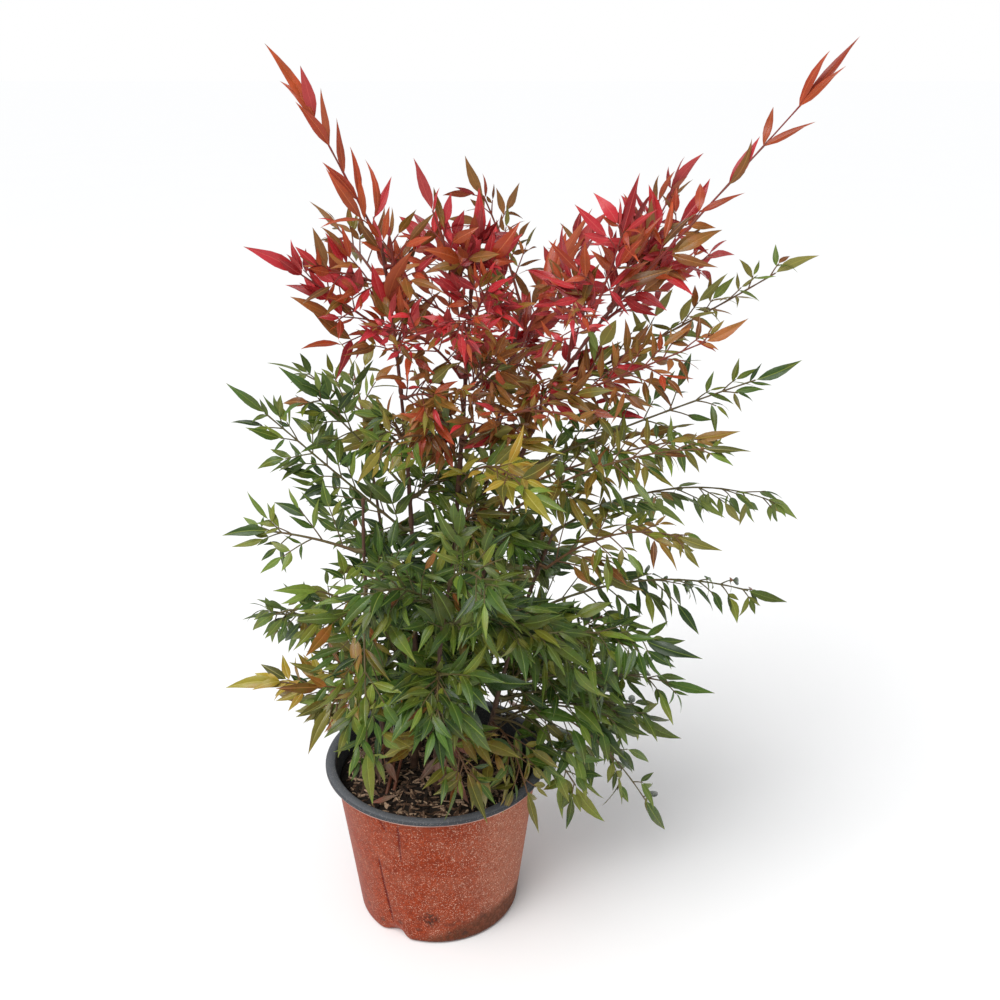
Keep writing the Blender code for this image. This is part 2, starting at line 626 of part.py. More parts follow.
def main():
    for old in list(bpy.data.objects):
        bpy.data.objects.remove(old)
    build_pot()
    build_soil()
    for cane in CANES:
        build_cane(cane)
    leaves = 0
    for number, spray in enumerate(SPRAYS):
        grown = grow(number, spray)
        fuse(spray.name, grown.bodies, finish(spray.tint, 0.45))
        leaves += len(grown.blades)
    print(f"{len(CANES)} canes, {len(SPRAYS)} sprays, {leaves} leaflets")


main()
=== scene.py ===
# %% [markdown]
# # A potted heavenly bamboo
# This lesson dresses a finished CAD model of a small shrub in its nursery pot. The CAD model holds the main
# shapes as closed solids. Here the pot gets its thin rolled rim and its dust, the soil gets its bark chips,
# the canes get their bark, and each mass of leaves is grown again, finer, by the rule of its source.

# %% Open the CAD frame and measure it
import json
import math
import random
from collections import namedtuple

import bpy
from mathutils import Matrix, Vector, noise

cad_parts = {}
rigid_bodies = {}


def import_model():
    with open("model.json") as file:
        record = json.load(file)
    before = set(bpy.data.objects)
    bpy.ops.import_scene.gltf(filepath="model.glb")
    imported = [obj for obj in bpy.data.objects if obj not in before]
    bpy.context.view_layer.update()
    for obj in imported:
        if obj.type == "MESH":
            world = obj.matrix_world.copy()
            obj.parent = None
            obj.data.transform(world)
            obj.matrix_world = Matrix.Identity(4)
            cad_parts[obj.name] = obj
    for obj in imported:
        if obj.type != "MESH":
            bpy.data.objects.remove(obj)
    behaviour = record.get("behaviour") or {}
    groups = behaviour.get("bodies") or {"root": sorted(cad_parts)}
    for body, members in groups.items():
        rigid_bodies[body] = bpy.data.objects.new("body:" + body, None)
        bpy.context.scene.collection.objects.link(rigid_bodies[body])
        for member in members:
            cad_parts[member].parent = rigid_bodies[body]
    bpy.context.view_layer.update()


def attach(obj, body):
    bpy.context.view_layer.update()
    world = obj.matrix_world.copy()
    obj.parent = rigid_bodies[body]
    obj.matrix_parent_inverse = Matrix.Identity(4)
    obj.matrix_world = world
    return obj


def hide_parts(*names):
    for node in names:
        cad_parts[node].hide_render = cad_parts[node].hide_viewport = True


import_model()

# %% [markdown]
# ## The camera
# The pot's rim shows as an ellipse whose height is a little over a third of its width, so the photograph
# looks down on the plant at about 21 degrees. A camera 0.8 m in front of the canes gives the same lean of
# the side branches towards the edges of the picture.

# %% Place the camera
CAMERA_PLACE = (0.055, -0.80, 0.697)
CAMERA_DIP = 21.6
CAMERA_LENS = 39.4

scene = bpy.context.scene
lens = bpy.data.cameras.new("studio_camera")
lens.sensor_width = 36
lens.lens = CAMERA_LENS
camera = bpy.data.objects.new("studio_camera", lens)
camera.location = CAMERA_PLACE
camera.rotation_euler = (math.radians(90 - CAMERA_DIP), 0, 0)
scene.collection.objects.link(camera)
scene.camera = camera
print("camera looks down", CAMERA_DIP, "degrees")

# %% [markdown]
# ## Helpers for trees of nodes
# Every finish on this plant is a small tree of shader nodes, and all that is strewn or laid by the hundred
# comes from a tree of Geometry Nodes. A helper that adds a node, sets it and joins it in one line keeps both
# kinds short enough to read.

# %% A helper for any tree of nodes
class Nodes:
    """A tree of nodes, with a short call that adds one."""

    def __init__(self, tree):
        self.tree = tree

    def node(self, kind, given=None, **settings):
        """Adds a node. given holds values or other nodes' outputs for its sockets, by name or number."""
        made = self.tree.nodes.new(kind)
        for key, value in settings.items():
            setattr(made, key, value)
        for key, value in (given or {}).items():
            self.put(made.inputs[key], value)
        return made

    def put(self, socket, value):
        value = getattr(value, "socket", value)
        if isinstance(value, bpy.types.NodeSocket):
            self.tree.links.new(value, socket)
        else:
            socket.default_value = (*value, 1) if socket.type == "RGBA" else value


# %% [markdown]
# ## Helpers for finishes
# A recipe is easiest to read as a sum, such as `height + dust * 0.5`. So whatever a node gives is wrapped in
# a signal, and each sign between two signals adds a Math node. Noise is read in Object coordinates, which
# are metres here, so a scale of 100 gives patches about a centimetre wide.

# %% A helper for finishes
class Signal:
    """What a node gives at each point of a surface."""

    def __init__(self, finish, socket):
        self.finish = finish
        self.socket = socket

    def __add__(self, other):
        return self.finish.math("ADD", self, other)

    def __sub__(self, other):
        return self.finish.math("SUBTRACT", self, other)

    def __mul__(self, other):
        return self.finish.math("MULTIPLY", self, other)

    def __abs__(self):
        return self.finish.math("ABSOLUTE", self)


class Finish(Nodes):
    """A material with a Principled shader, and short calls for the nodes that feed it."""

    def __init__(self, name, roughness=0.5, gloss=0.35):
        self.material = bpy.data.materials.new(name)
        self.material.use_nodes = True
        super().__init__(self.material.node_tree)
        self.shader = self.tree.nodes["Principled BSDF"]
        self.shader.inputs["Roughness"].default_value = roughness
        self.shader.inputs["Specular IOR Level"].default_value = gloss
        self.place = self.node("ShaderNodeTexCoord").outputs["Object"]

    def math(self, operation, a, b=0.5):
        return Signal(self, self.node("ShaderNodeMath", {0: a, 1: b}, operation=operation).outputs[0])

    def step(self, value, low, high, start=0.0, end=1.0):
        """Goes smoothly from start to end while value goes from low to high."""
        given = {"Value": value, "From Min": low, "From Max": high, "To Min": start, "To Max": end}
        made = self.node("ShaderNodeMapRange", given, interpolation_type="SMOOTHSTEP")
        return Signal(self, made.outputs["Result"])

    def mix(self, share, a, b):
        """Colour a, with this share of colour b."""
        return Signal(self, self.node("ShaderNodeMix", {0: share, 6: a, 7: b}, data_type="RGBA").outputs[2])

    def noise(self, scale, detail=3.0, stretch=None):
        """Noise between 0 and 1, with this many patches to the metre."""
        place = self.place
        if stretch:
            place = self.node("ShaderNodeMapping", {"Vector": place, "Scale": stretch}).outputs["Vector"]
        given = {"Vector": place, "Scale": scale, "Detail": detail, "Roughness": 0.55}
        return Signal(self, self.node("ShaderNodeTexNoise", given).outputs["Fac"])

    def cells(self, scale):
        """The distance to the middle of the nearest cell."""
        made = self.node("ShaderNodeTexVoronoi", {"Vector": self.place, "Scale": scale})
        return Signal(self, made.outputs["Distance"])

    def parts(self, vector):
        """The three numbers of a vector."""
        return [Signal(self, part) for part in self.node("ShaderNodeSeparateXYZ", {0: vector}).outputs]

    def attribute(self, name):
        return Signal(self, self.node("ShaderNodeAttribute", attribute_name=name).outputs["Fac"])

    def colour(self, value):
        self.put(self.shader.inputs["Base Color"], value)

    def roughness(self, value):
        self.put(self.shader.inputs["Roughness"], value)

    def bump(self, height, strength, distance):
        made = self.node("ShaderNodeBump", {"Strength": strength, "Distance": distance, "Height": height})
        self.put(self.shader.inputs["Normal"], made.outputs["Normal"])


# %% Helpers for pieces
def add_piece(name, mesh, finish):
    piece = bpy.data.objects.new(name, mesh)
    mesh.materials.clear()
    mesh.materials.append(finish.material)
    scene.collection.objects.link(piece)
    return piece


def new_mesh(name, points, faces, edges=(), smooth=True):
    mesh = bpy.data.meshes.new(name)
    mesh.from_pydata(points, edges, faces)
    if smooth:
        mesh.shade_smooth()
    return mesh


def store(mesh, name, values, kind="FLOAT", field="value"):
    """Stores a value at each point of a mesh, for a finish or a node tree to read."""
    mesh.attributes.new(name, kind, "POINT").data.foreach_set(field, values)


# %% [markdown]
# ## Floor and light
# The plant is shown as in a product picture: a pale floor that runs out into a white surround. Even light
# from all round would flatten the leaves, so the surround lights them only half as much as it shows, and
# a wide soft sun from the upper left models them. Two large lamps give the satin glints and keep the
# shaded side readable.

# %% Lay the pale floor
FLOOR_HALF = 60

floor_finish = Finish("pale_floor", 0.9, 0.0)
floor_finish.colour(floor_finish.mix(floor_finish.noise(2.0), (0.98, 0.98, 0.98), (0.99, 0.99, 0.985)))
corners = [(x * FLOOR_HALF, y * FLOOR_HALF, 0) for x, y in ((-1, -1), (1, -1), (1, 1), (-1, 1))]
floor = add_piece("floor", new_mesh("floor", corners, [(0, 1, 2, 3)], smooth=False), floor_finish)

# %% Set the white surround
AMBIENT = 0.50

surround = bpy.data.worlds.new("white_surround")
surround.use_nodes = True
sky = Nodes(surround.node_tree)
shown = sky.tree.nodes["Background"]
sky.put(shown.inputs["Color"], (1, 1, 1))
lighting = sky.node("ShaderNodeBackground", {"Color": (0.97, 0.98, 1), "Strength": AMBIENT})
seen = sky.node("ShaderNodeLightPath").outputs["Is Camera Ray"]
either = sky.node("ShaderNodeMixShader", {0: seen, 1: lighting.outputs[0], 2: shown.outputs[0]})
sky.put(sky.tree.nodes["World Output"].inputs["Surface"], either.outputs[0])
scene.world = surround
scene.view_settings.view_transform = "Standard"

# %% Hang the sun and the lamps
SUN_FROM = (-0.60, -0.75, 1.50)
SUN_POWER = 1.93
SUN_WIDTH = 40
LAMP_AIM = (0.05, 0, 0.35)
LAMPS = [
    ("key_lamp", (-1.3, -1.5, 2.1), 1.2, 14),
    ("fill_lamp", (1.8, -1.3, 1.2), 1.4, 3),
]


def hang(name, kind, power, place, aim):
    lamp = bpy.data.lights.new(name, kind)
    lamp.energy = power
    holder = bpy.data.objects.new(name, lamp)
    holder.location = place
    holder.rotation_euler = (Vector(aim) - Vector(place)).to_track_quat("-Z", "Y").to_euler()
    scene.collection.objects.link(holder)
    return lamp


sun = hang("soft_sun", "SUN", SUN_POWER, SUN_FROM, (0, 0, 0))
sun.angle = math.radians(SUN_WIDTH)
for name, place, size, power in LAMPS:
    hang(name, "AREA", power, place, LAMP_AIM).size = size
print("a sun and", len(LAMPS), "lamps")

# %% [markdown]
# ## The pot's shape
# A nursery pot is one thin sheet of moulded plastic: a cone with a flanged rim and two notches at its foot
# that let water out. It could be a turned profile with a Screw modifier, but the notches and the dents break
# the round shape, so the rings are computed. `drawn_in` is the rule of the CAD source, and the dents are
# narrow valleys that run down the wall where the thin sheet has been squeezed.

# %% The pot's sizes and its foot notches
POT_HEIGHT = 0.145
RIM_RADIUS = 0.095
RIM_DEPTH = 0.0046
WALL_TOP_RADIUS = 0.088
FOOT_RADIUS = 0.070
WALL = 0.0012
FLUTE_COUNT = 2
FLUTE_FIRST = math.radians(-120)
FLUTE_HALF_WIDTH = math.radians(13)
NOTCH_DEPTH = 0.006
NOTCH_HEIGHT = 0.011
CREASE_DEPTH = 0.0025
CREASE_HEIGHT = 0.060


def wall_radius(height):
    return FOOT_RADIUS + (WALL_TOP_RADIUS - FOOT_RADIUS) * height / POT_HEIGHT


def drawn_in(angle, height):
    """How far the wall is drawn in here: a notch in the foot with a crease that fades above it."""
    pitch = 2 * math.pi / FLUTE_COUNT
    off = (angle - FLUTE_FIRST + pitch / 2) % pitch - pitch / 2
    if abs(off) >= FLUTE_HALF_WIDTH:
        return 0.0
    across = math.cos(off / FLUTE_HALF_WIDTH * math.pi / 2) ** 2
    notch = NOTCH_DEPTH * max(0, 1 - height / NOTCH_HEIGHT)
    return across * (notch + CREASE_DEPTH * max(0, 1 - height / CREASE_HEIGHT))


# %% Where the thin wall is dented
Dent = namedtuple("Dent", "top_angle top foot_angle foot depth")
# A dent runs from an angle and height near the rim to another one lower down.
DENTS = [
    Dent(-120.0, 0.134, -115.5, 0.122, 0.0011),
    Dent(-108.3, 0.130, -108.6, 0.095, 0.0011),
    Dent(-124.3, 0.086, -121.7, 0.018, 0.0013),
    Dent(-72, 0.112, -66, 0.094, 0.0005),
    Dent(40, 0.120, 52, 0.070, 0.0010),
    Dent(128, 0.100, 121, 0.040, 0.0011),
    Dent(-30, 0.050, -38, 0.022, 0.0005),
]
DENT_WIDTH = 0.0011
DENT_FADE = 0.15


def dented(angle, height):
    """How deep the wall is dented here."""
    deepest = 0.0
    for dent in DENTS:
        share = (dent.top - height) / (dent.top - dent.foot)
        if not -DENT_FADE < share < 1 + DENT_FADE:
            continue
        middle = math.radians(dent.top_angle + (dent.foot_angle - dent.top_angle) * share)
        off = (angle - middle + math.pi) % (2 * math.pi) - math.pi
        fade = max(0, min(1, (share + DENT_FADE) * 4, (1 + DENT_FADE - share) * 4))
        across = abs(off) * wall_radius(height) / DENT_WIDTH
        deepest = max(deepest, fade * dent.depth * math.exp(-across * across))
    return deepest


# %% The rings of the sheet
PLAIN_STEP = 2.4
DENT_STEP = 0.6
DENT_MARGIN = 3
WALL_RINGS = 55
FLOOR_RADII = (0, 0.030, 0.055)
FLOOR_EDGE = FOOT_RADIUS - 0.005
# The rounded foot, the underside of the rim and its rolled top, as offsets from a radius and a height.
FOOT_ROUND = [(-0.0028, 0.0002), (-0.0012, 0.0010)]
RIM_UNDERSIDE = [(-0.0022, 0), (-0.0006, 0.0004), (-0.0001, 0.0012)]
RIM_ROLL = [(0, -0.0018), (-0.0006, -0.0005), (-0.0016, 0), (-0.0036, -0.0001)]
LINING_HEIGHTS = (0.1437, 0.142, 0.138, 0.130, 0.120, 0.100, 0.060, 0.030, 0.011, 0.005)


def wall_angles():
    """Angles round the pot, close together where the dents are."""
    angles, angle = [], -180.0
    while angle < 180 - DENT_STEP / 2:
        angles.append(math.radians(angle))
        near = False
        for dent in DENTS:
            left, right = sorted((dent.top_angle, dent.foot_angle))
            near = near or left - DENT_MARGIN < angle < right + DENT_MARGIN
        angle += DENT_STEP if near else PLAIN_STEP
    return angles


def pot_profile():
    """(radius, height, lining) of each ring: along the underside, up the wall, over the rim and back down."""
    under_rim = POT_HEIGHT - RIM_DEPTH
    rows = [(radius, 0, 0) for radius in (*FLOOR_RADII, FLOOR_EDGE)]
    rows += [(FOOT_RADIUS + out, up, 0) for out, up in FOOT_ROUND]
    rows += [(wall_radius(0.0025), 0.0025, 0)]
    heights = [0.005 + (under_rim - 0.0052) * k / (WALL_RINGS - 1) for k in range(WALL_RINGS)]
    rows += [(wall_radius(height), height, 0) for height in heights]
    rows += [(wall_radius(under_rim) + 0.0006, under_rim - 0.0004, 0)]
    rows += [(RIM_RADIUS + out, under_rim + up, 0) for out, up in RIM_UNDERSIDE]
    rows += [(RIM_RADIUS, under_rim + 0.0016, 1)]
    rows += [(RIM_RADIUS + out, POT_HEIGHT + up, 1) for out, up in RIM_ROLL]
    rows += [(wall_radius(POT_HEIGHT) - WALL + 0.0010, POT_HEIGHT - 0.0003, 1)]
    rows += [(wall_radius(height) - WALL, height, 1) for height in LINING_HEIGHTS]
    rows += [(FLOOR_EDGE, WALL, 1), (0.030, WALL, 1), (0, WALL, 1)]
    return rows


# %% Turn the wall, the rolled rim and the lining as one closed sheet
PLAIN_LINING_FROM = 0.1385
SWAY = 0.0003
SWAY_BELOW = RIM_RADIUS - 0.003
DEEP_DENT = 0.0014


def lathe_faces(sides, rings):
    """Faces of a turned shape: a middle point, rings of points, and a middle point again."""
    faces, last = [], 1 + rings * sides
    for ring in range(rings - 1):
        for i in range(sides):
            a, b = 1 + ring * sides + i, 1 + ring * sides + (i + 1) % sides
            faces.append((a, b, b + sides, a + sides))
    for i in range(sides):
        j = (i + 1) % sides
        faces += [(0, 1 + j, 1 + i), (last, last - sides + i, last - sides + j)]
    return faces


def turned_sheet(name, rows, angles):
    points, lining, dent_depth = [(0, 0, rows[0][1])], [rows[0][2]], [0.0]
    for radius, height, inside in rows[1:-1]:
        for angle in angles:
            dent = 0 if inside and height > PLAIN_LINING_FROM else dented(angle, height)
            sway = 0
            if radius < SWAY_BELOW:
                sway = SWAY * math.sin(3 * angle + 0.6) * min(1, height / 0.06)
            reach = radius - drawn_in(angle, height) - dent + sway
            points.append((reach * math.cos(angle), reach * math.sin(angle), height))
            lining.append(inside)
            dent_depth.append(dent / DEEP_DENT)
    points.append((0, 0, rows[-1][1]))
    mesh = new_mesh(name, points, lathe_faces(len(angles), len(rows) - 2))
    store(mesh, "lining", [float(value) for value in (*lining, rows[-1][2])])
    # How deep each point is dented, which the finish reads to paint shade into the dents.
    store(mesh, "dent", [*dent_depth, 0.0])
    return mesh


# %% [markdown]
# ## The pot's finish
# The plastic is terracotta outside and dark grey inside, and the grey wraps over the rim. Outdoors it has
# gathered fine pale specks of dust and lime, most of them on the right, and it turns dark brown towards its
# foot, higher on the right. The specks are thresholds on two sizes of cells, so they stay crisp close up.

# %% Mix the terracotta, the grey lining and the dust
def mottled_clay(clay):
    """The moulded plastic itself, with painted shade that darkens the dents."""
    body = clay.mix(clay.noise(28, 5), (0.290, 0.031, 0.005), (0.410, 0.058, 0.010))
    body = clay.mix(clay.step(clay.noise(170, 5), 0.36, 0.68, 0, 0.55), body, (0.185, 0.022, 0.005))
    body = clay.mix(clay.step(clay.noise(640, 3), 0.38, 0.62, 0, 0.65), body, (0.150, 0.018, 0.005))
    # Painted shade: the colour turns dark along the dents, where the valleys of the sheet lie in shade.
    return clay.mix(clay.step(clay.attribute("dent"), 0.08, 0.6, 0, 0.92), body, (0.130, 0.007, 0.004))


def dirtied(clay, body, across, depth, height):
    """The pale line under the rim, a dark brown band at the foot that rises higher on the right, a dark spot,
    a scuff and blots.
    """
    edge = clay.step(height, 0.1376, 0.1384) * clay.step(clay.noise(50, 3), 0.30, 0.55, 0.55, 1.0)
    body = clay.mix(edge, body, (0.62, 0.40, 0.34))
    wash = height - clay.step(across, -0.030, 0.045) * 0.024
    low = clay.step(wash + clay.noise(60, 5) * 0.012, 0.000, 0.012, 1, 0)
    low = low * clay.step(clay.noise(330, 4), 0.30, 0.60, 0.55, 0.90)
    body = clay.mix(low, body, (0.085, 0.026, 0.009))
    aside = abs(across + 0.004)
    spot = clay.step(aside + abs(height - 0.030), 0.004, 0.015, 1, 0)
    spot = spot * clay.step(clay.noise(420, 4), 0.42, 0.56) * clay.step(depth, -0.010, 0.010, 1, 0)
    body = clay.mix(spot * 0.85, body, (0.030, 0.018, 0.012))
    scuff = clay.step(abs(height - 0.122), 0.0002, 0.0007, 0.5, 0) * clay.step(aside, 0.022, 0.032, 1, 0)
    body = clay.mix(scuff, body, (0.170, 0.015, 0.006))
    blots = clay.step(height, 0.010, 0.040, 1, 0) * clay.step(clay.noise(75, 5), 0.56, 0.66)
    return clay.mix(blots * 0.70, body, (0.045, 0.022, 0.016))


def pot_finish():
    clay = Finish("dusty_terracotta", 0.55, 0.12)
    across, depth, height = clay.parts(clay.place)
    dusty = clay.step(across + clay.noise(20, 3) * 0.05, -0.060, 0.070, 0.50, 1.0)
    fine = clay.step(clay.cells(840), 0.20, 0.36, 1, 0) * clay.step(clay.noise(260, 3), 0.36, 0.50)
    coarse = clay.step(clay.cells(440), 0.13, 0.27, 1, 0) * clay.step(clay.noise(90, 3), 0.42, 0.56)
    bright = clay.step(clay.noise(330, 2), 0.40, 0.60, 0.35, 1.0)
    specks = clay.math("MAXIMUM", fine, coarse) * bright * dusty
    veil = clay.step(across + clay.noise(35, 4) * 0.04, 0.030, 0.090, 0.0, 0.42)
    veil = veil * clay.step(clay.noise(560, 4), 0.36, 0.62, 0.45, 1.40)
    haze = clay.math("MAXIMUM", clay.step(clay.noise(46, 5), 0.42, 0.72) * 0.14, veil)
    body = clay.mix(haze, mottled_clay(clay), (0.52, 0.25, 0.165))
    body = clay.mix(specks * 0.95, body, (0.80, 0.53, 0.39))
    body = dirtied(clay, body, across, depth, height)
    grey = clay.mix(clay.noise(40, 4), (0.032, 0.035, 0.040), (0.085, 0.090, 0.098))
    # Painted highlight: the grey is mixed halfway to a pale bluish grey along the very top of the rolled rim.
    grey = clay.mix(clay.step(height, POT_HEIGHT - 0.0008, POT_HEIGHT, 0, 0.5), grey, (0.19, 0.20, 0.22))
    grey = clay.mix(fine * 0.5, grey, (0.36, 0.33, 0.31))
    clay.colour(clay.mix(clay.step(clay.attribute("lining"), 0.45, 0.55), body, grey))
    clay.roughness(clay.step(haze + specks, 0.0, 0.8, 0.46, 0.85))
    clay.bump(specks * 0.5 + clay.noise(180, 4) * 0.5, 0.25, 0.0004)
    return clay


pot = add_piece("pot_sheet", turned_sheet("pot_sheet", pot_profile(), wall_angles()), pot_finish())
print("pot:", len(pot.data.polygons), "faces,", len(DENTS), "dents")

# %% [markdown]
# ## Potting soil
# The mix is dark and crumbly, lower at the wall, with bark chips strewn on it. The bed is a polar grid whose
# heights come from noise at three sizes. Its foot is plain, because the pot hides it.

# %% Heap the crumbly bed of soil
SOIL_TOP = 0.130
SOIL_DIP = 0.0008
SOIL_EDGE_DROP = 0.005
SOIL_FLAT, SOIL_SLOPE = 0.55, 0.45
SOIL_RINGS = 44
SOIL_SIDES = 150
SOIL_GAP = 0.0006
HIDDEN_RINGS = (0.110, 0.060, 0.012)
LUMPS = [(60, 0.0020), (170, 0.0014), (420, 0.0008)]


def soil_height(x, y):
    out = math.hypot(x, y) / wall_radius(SOIL_TOP)
    lumps = [height * noise.noise(Vector((x, y, 0)) * scale) for scale, height in LUMPS]
    drop = SOIL_EDGE_DROP * max(0, (out - SOIL_FLAT) / SOIL_SLOPE) ** 1.5
    return SOIL_TOP - SOIL_DIP - drop + sum(lumps)


def round_the_pot():
    return [2 * math.pi * side / SOIL_SIDES for side in range(SOIL_SIDES)]


def soil_bed():
    edge = wall_radius(SOIL_TOP - SOIL_EDGE_DROP) - WALL - SOIL_GAP
    points = [(0, 0, soil_height(0, 0))]
    for ring in range(1, SOIL_RINGS + 1):
        for angle in round_the_pot():
            reach = edge * ring / SOIL_RINGS
            x, y = reach * math.cos(angle), reach * math.sin(angle)
            points.append((x, y, soil_height(x, y)))
    for height in HIDDEN_RINGS:
        for angle in round_the_pot():
            reach = wall_radius(height) - WALL - SOIL_GAP - drawn_in(angle, height)
            points.append((reach * math.cos(angle), reach * math.sin(angle), height))
    points.append((0, 0, HIDDEN_RINGS[-1]))
    faces = lathe_faces(SOIL_SIDES, SOIL_RINGS + len(HIDDEN_RINGS))
    # The soil is turned from its top down, so its faces are read backwards to point outwards.
    return new_mesh("soil_bed", points, [(face[0], *face[:0:-1]) for face in faces])


def soil_finish():
    mix = Finish("dark_potting_mix", 0.9)
    base = mix.mix(mix.noise(300, 6), (0.004, 0.003, 0.002), (0.024, 0.014, 0.008))
    base = mix.mix(mix.step(mix.cells(420), 0.02, 0.16, 0.45, 0), base, (0.085, 0.048, 0.028))
    mix.colour(base)
    mix.bump(mix.noise(520, 6), 0.9, 0.0012)
    return mix


soil = add_piece("soil_bed", soil_bed(), soil_finish())
print("soil:", len(soil.data.polygons), "faces")

# %% [markdown]
# ## Bark chips with Geometry Nodes
# Hundreds of chips lie on the soil. Placing them one by one would be slow, so a node tree scatters points
# over the bed, puts one of five split chips on each, and turns and scales it at random from a fixed seed.
# The tree ends in Realize Instances, so that the chips come out as a plain mesh.

# %% A helper for Geometry Nodes trees
class Growth(Nodes):
    """A Geometry Nodes tree with named inputs, and the call that runs it once and keeps a plain mesh."""

    def __init__(self, name):
        super().__init__(bpy.data.node_groups.new(name, "GeometryNodeTree"))
        for way in ("INPUT", "OUTPUT"):
            self.tree.interface.new_socket("Geometry", in_out=way, socket_type="NodeSocketGeometry")
        self.given = self.node("NodeGroupInput")
        self.result = self.node("NodeGroupOutput")

    def input(self, name, kind):
        self.tree.interface.new_socket(name, in_out="INPUT", socket_type="NodeSocket" + kind)
        return self.given.outputs[name]

    def start(self):
        return self.given.outputs["Geometry"]

    def stored(self, name, kind="FLOAT"):
        """The value that each point carries under this name."""
        made = self.node("GeometryNodeInputNamedAttribute", {"Name": name}, data_type=kind)
        return made.outputs["Attribute"]

    def random(self, low, high):
        """Three random numbers between low and high."""
        return self.node("FunctionNodeRandomValue", {0: low, 1: high}, data_type="FLOAT_VECTOR").outputs[0]

    def scaled(self, vector, scale):
        return self.node("ShaderNodeVectorMath", {0: vector, "Scale": scale}, operation="SCALE").outputs[0]

    def lay(self, points, shapes, **given):
        """Puts one of a collection's shapes on each point."""
        parted = {"Collection": shapes, "Separate Children": True, "Reset Children": True}
        shape = self.node("GeometryNodeCollectionInfo", parted).outputs[0]
        given = {"Points": points, "Instance": shape, "Pick Instance": True, **given}
        return self.node("GeometryNodeInstanceOnPoints", given).outputs[0]

    def end_in(self, geometry, finish):
        """Every tree ends alike: real geometry in one finish."""
        real = self.node("GeometryNodeRealizeInstances", {"Geometry": geometry}).outputs[0]
        painted = self.node("GeometryNodeSetMaterial", {"Geometry": real, "Material": finish}).outputs[0]
        self.put(self.result.inputs[0], painted)

    def run(self, name, mesh, **sizes):
        """Runs the tree on a mesh with these inputs and returns a plain mesh."""
        source = bpy.data.objects.new(name + "_source", mesh)
        scene.collection.objects.link(source)
        modifier = source.modifiers.new("growth", "NODES")
        modifier.node_group = self.tree
        identifiers = {s.name: s.identifier for s in self.tree.interface.items_tree if s.in_out == "INPUT"}
        for key, value in sizes.items():
            modifier[identifiers[key]] = value
        made = bpy.data.meshes.new_from_object(source.evaluated_get(bpy.context.evaluated_depsgraph_get()))
        made.name = name
        source.modifiers.clear()
        bpy.data.objects.remove(source)
        return made


def shape_store(name, meshes):
    """A collection of shapes for Pick Instance, in the order of their names."""
    kept = bpy.data.collections.new(name)
    for k, mesh in enumerate(meshes):
        kept.objects.link(bpy.data.objects.new(f"{name}_{k}", mesh))
    return kept


def empty_store(kept):
    for shape in list(kept.objects):
        bpy.data.objects.remove(shape)
    bpy.data.collections.remove(kept)


# %% Split five chips
CHIP_KINDS = 5
CHIP_WIDTHS = (0.5, 1.0, 0.9, 0.35)
CHIP_TOP = 0.9


def chip_shape(seed):
    """A split piece of bark: a bent board with ragged ends, one unit long."""
    chance = random.Random(seed)
    wide, thick, bow = chance.uniform(0.26, 0.52), chance.uniform(0.09, 0.20), chance.uniform(-0.10, 0.16)
    points, faces = [], []
    for k, width in enumerate(CHIP_WIDTHS):
        along = -0.5 + k / 3
        half = wide * width * chance.uniform(0.8, 1.2) / 2
        lift = bow * (1 - 4 * along * along)
        along += chance.uniform(-0.05, 0.05)
        for share, side in ((-1, -1), (1, -1), (CHIP_TOP, 1), (-CHIP_TOP, 1)):
            points.append((along, half * share + chance.uniform(-0.02, 0.02), side * thick / 2 + lift))
    for a in (0, 4, 8):
        for i in range(4):
            j = (i + 1) % 4
            faces.append((a + i, a + j, a + 4 + j, a + 4 + i))
    faces += [(3, 2, 1, 0), (12, 13, 14, 15)]
    return new_mesh("chip", points, faces, smooth=False)


# %% Scatter the chips over the bed
CHIP_LENGTH = 0.0082
CHIP_SEED = 11
CHIP_DENSITY = 66000
CHIP_TURNS = ((-0.60, -0.50, 0), (0.60, 0.50, 2 * math.pi))
CHIP_SIZES = ((0.55, 0.40, 0.6), (1.90, 0.80, 1.1))
CHIP_FACES = 14
NET_SQUARES = 40
NET_MARGIN = 0.006
NET_LIFT = 0.0004


def chip_tree():
    tree = Growth("strewn_chips")
    density = tree.input("Density", "Float")
    seed = tree.input("Seed", "Int")
    length = tree.input("Length", "Float")
    shapes = tree.input("Shapes", "Collection")
    finish = tree.input("Finish", "Material")
    given = {"Mesh": tree.start(), "Density": density, "Seed": seed}
    strewn = tree.node("GeometryNodeDistributePointsOnFaces", given).outputs["Points"]
    turn = tree.node("FunctionNodeEulerToRotation", {0: tree.random(*CHIP_TURNS)}).outputs[0]
    chips = tree.lay(strewn, shapes, Rotation=turn, Scale=tree.scaled(tree.random(*CHIP_SIZES), length))
    shade = tree.node("FunctionNodeRandomValue", data_type="FLOAT").outputs[1]
    marking = {"Geometry": chips, "Name": "shade", "Value": shade}
    marked = tree.node("GeometryNodeStoreNamedAttribute", marking, data_type="FLOAT", domain="INSTANCE")
    tree.end_in(marked.outputs[0], finish)
    return tree


def chip_finish():
    bark = Finish("split_bark", 0.85)
    shade = bark.attribute("shade")
    base = bark.mix(bark.step(shade, 0.20, 0.75), (0.018, 0.010, 0.006), (0.170, 0.092, 0.052))
    base = bark.mix(bark.step(shade, 0.62, 0.98), base, (0.560, 0.380, 0.250))
    base = bark.mix(bark.step(bark.noise(600, 5), 0.48, 0.64, 0, 0.7), base, (0.022, 0.012, 0.008))
    bark.colour(base)
    bark.bump(bark.noise(900, 4), 0.7, 0.0006)
    return bark


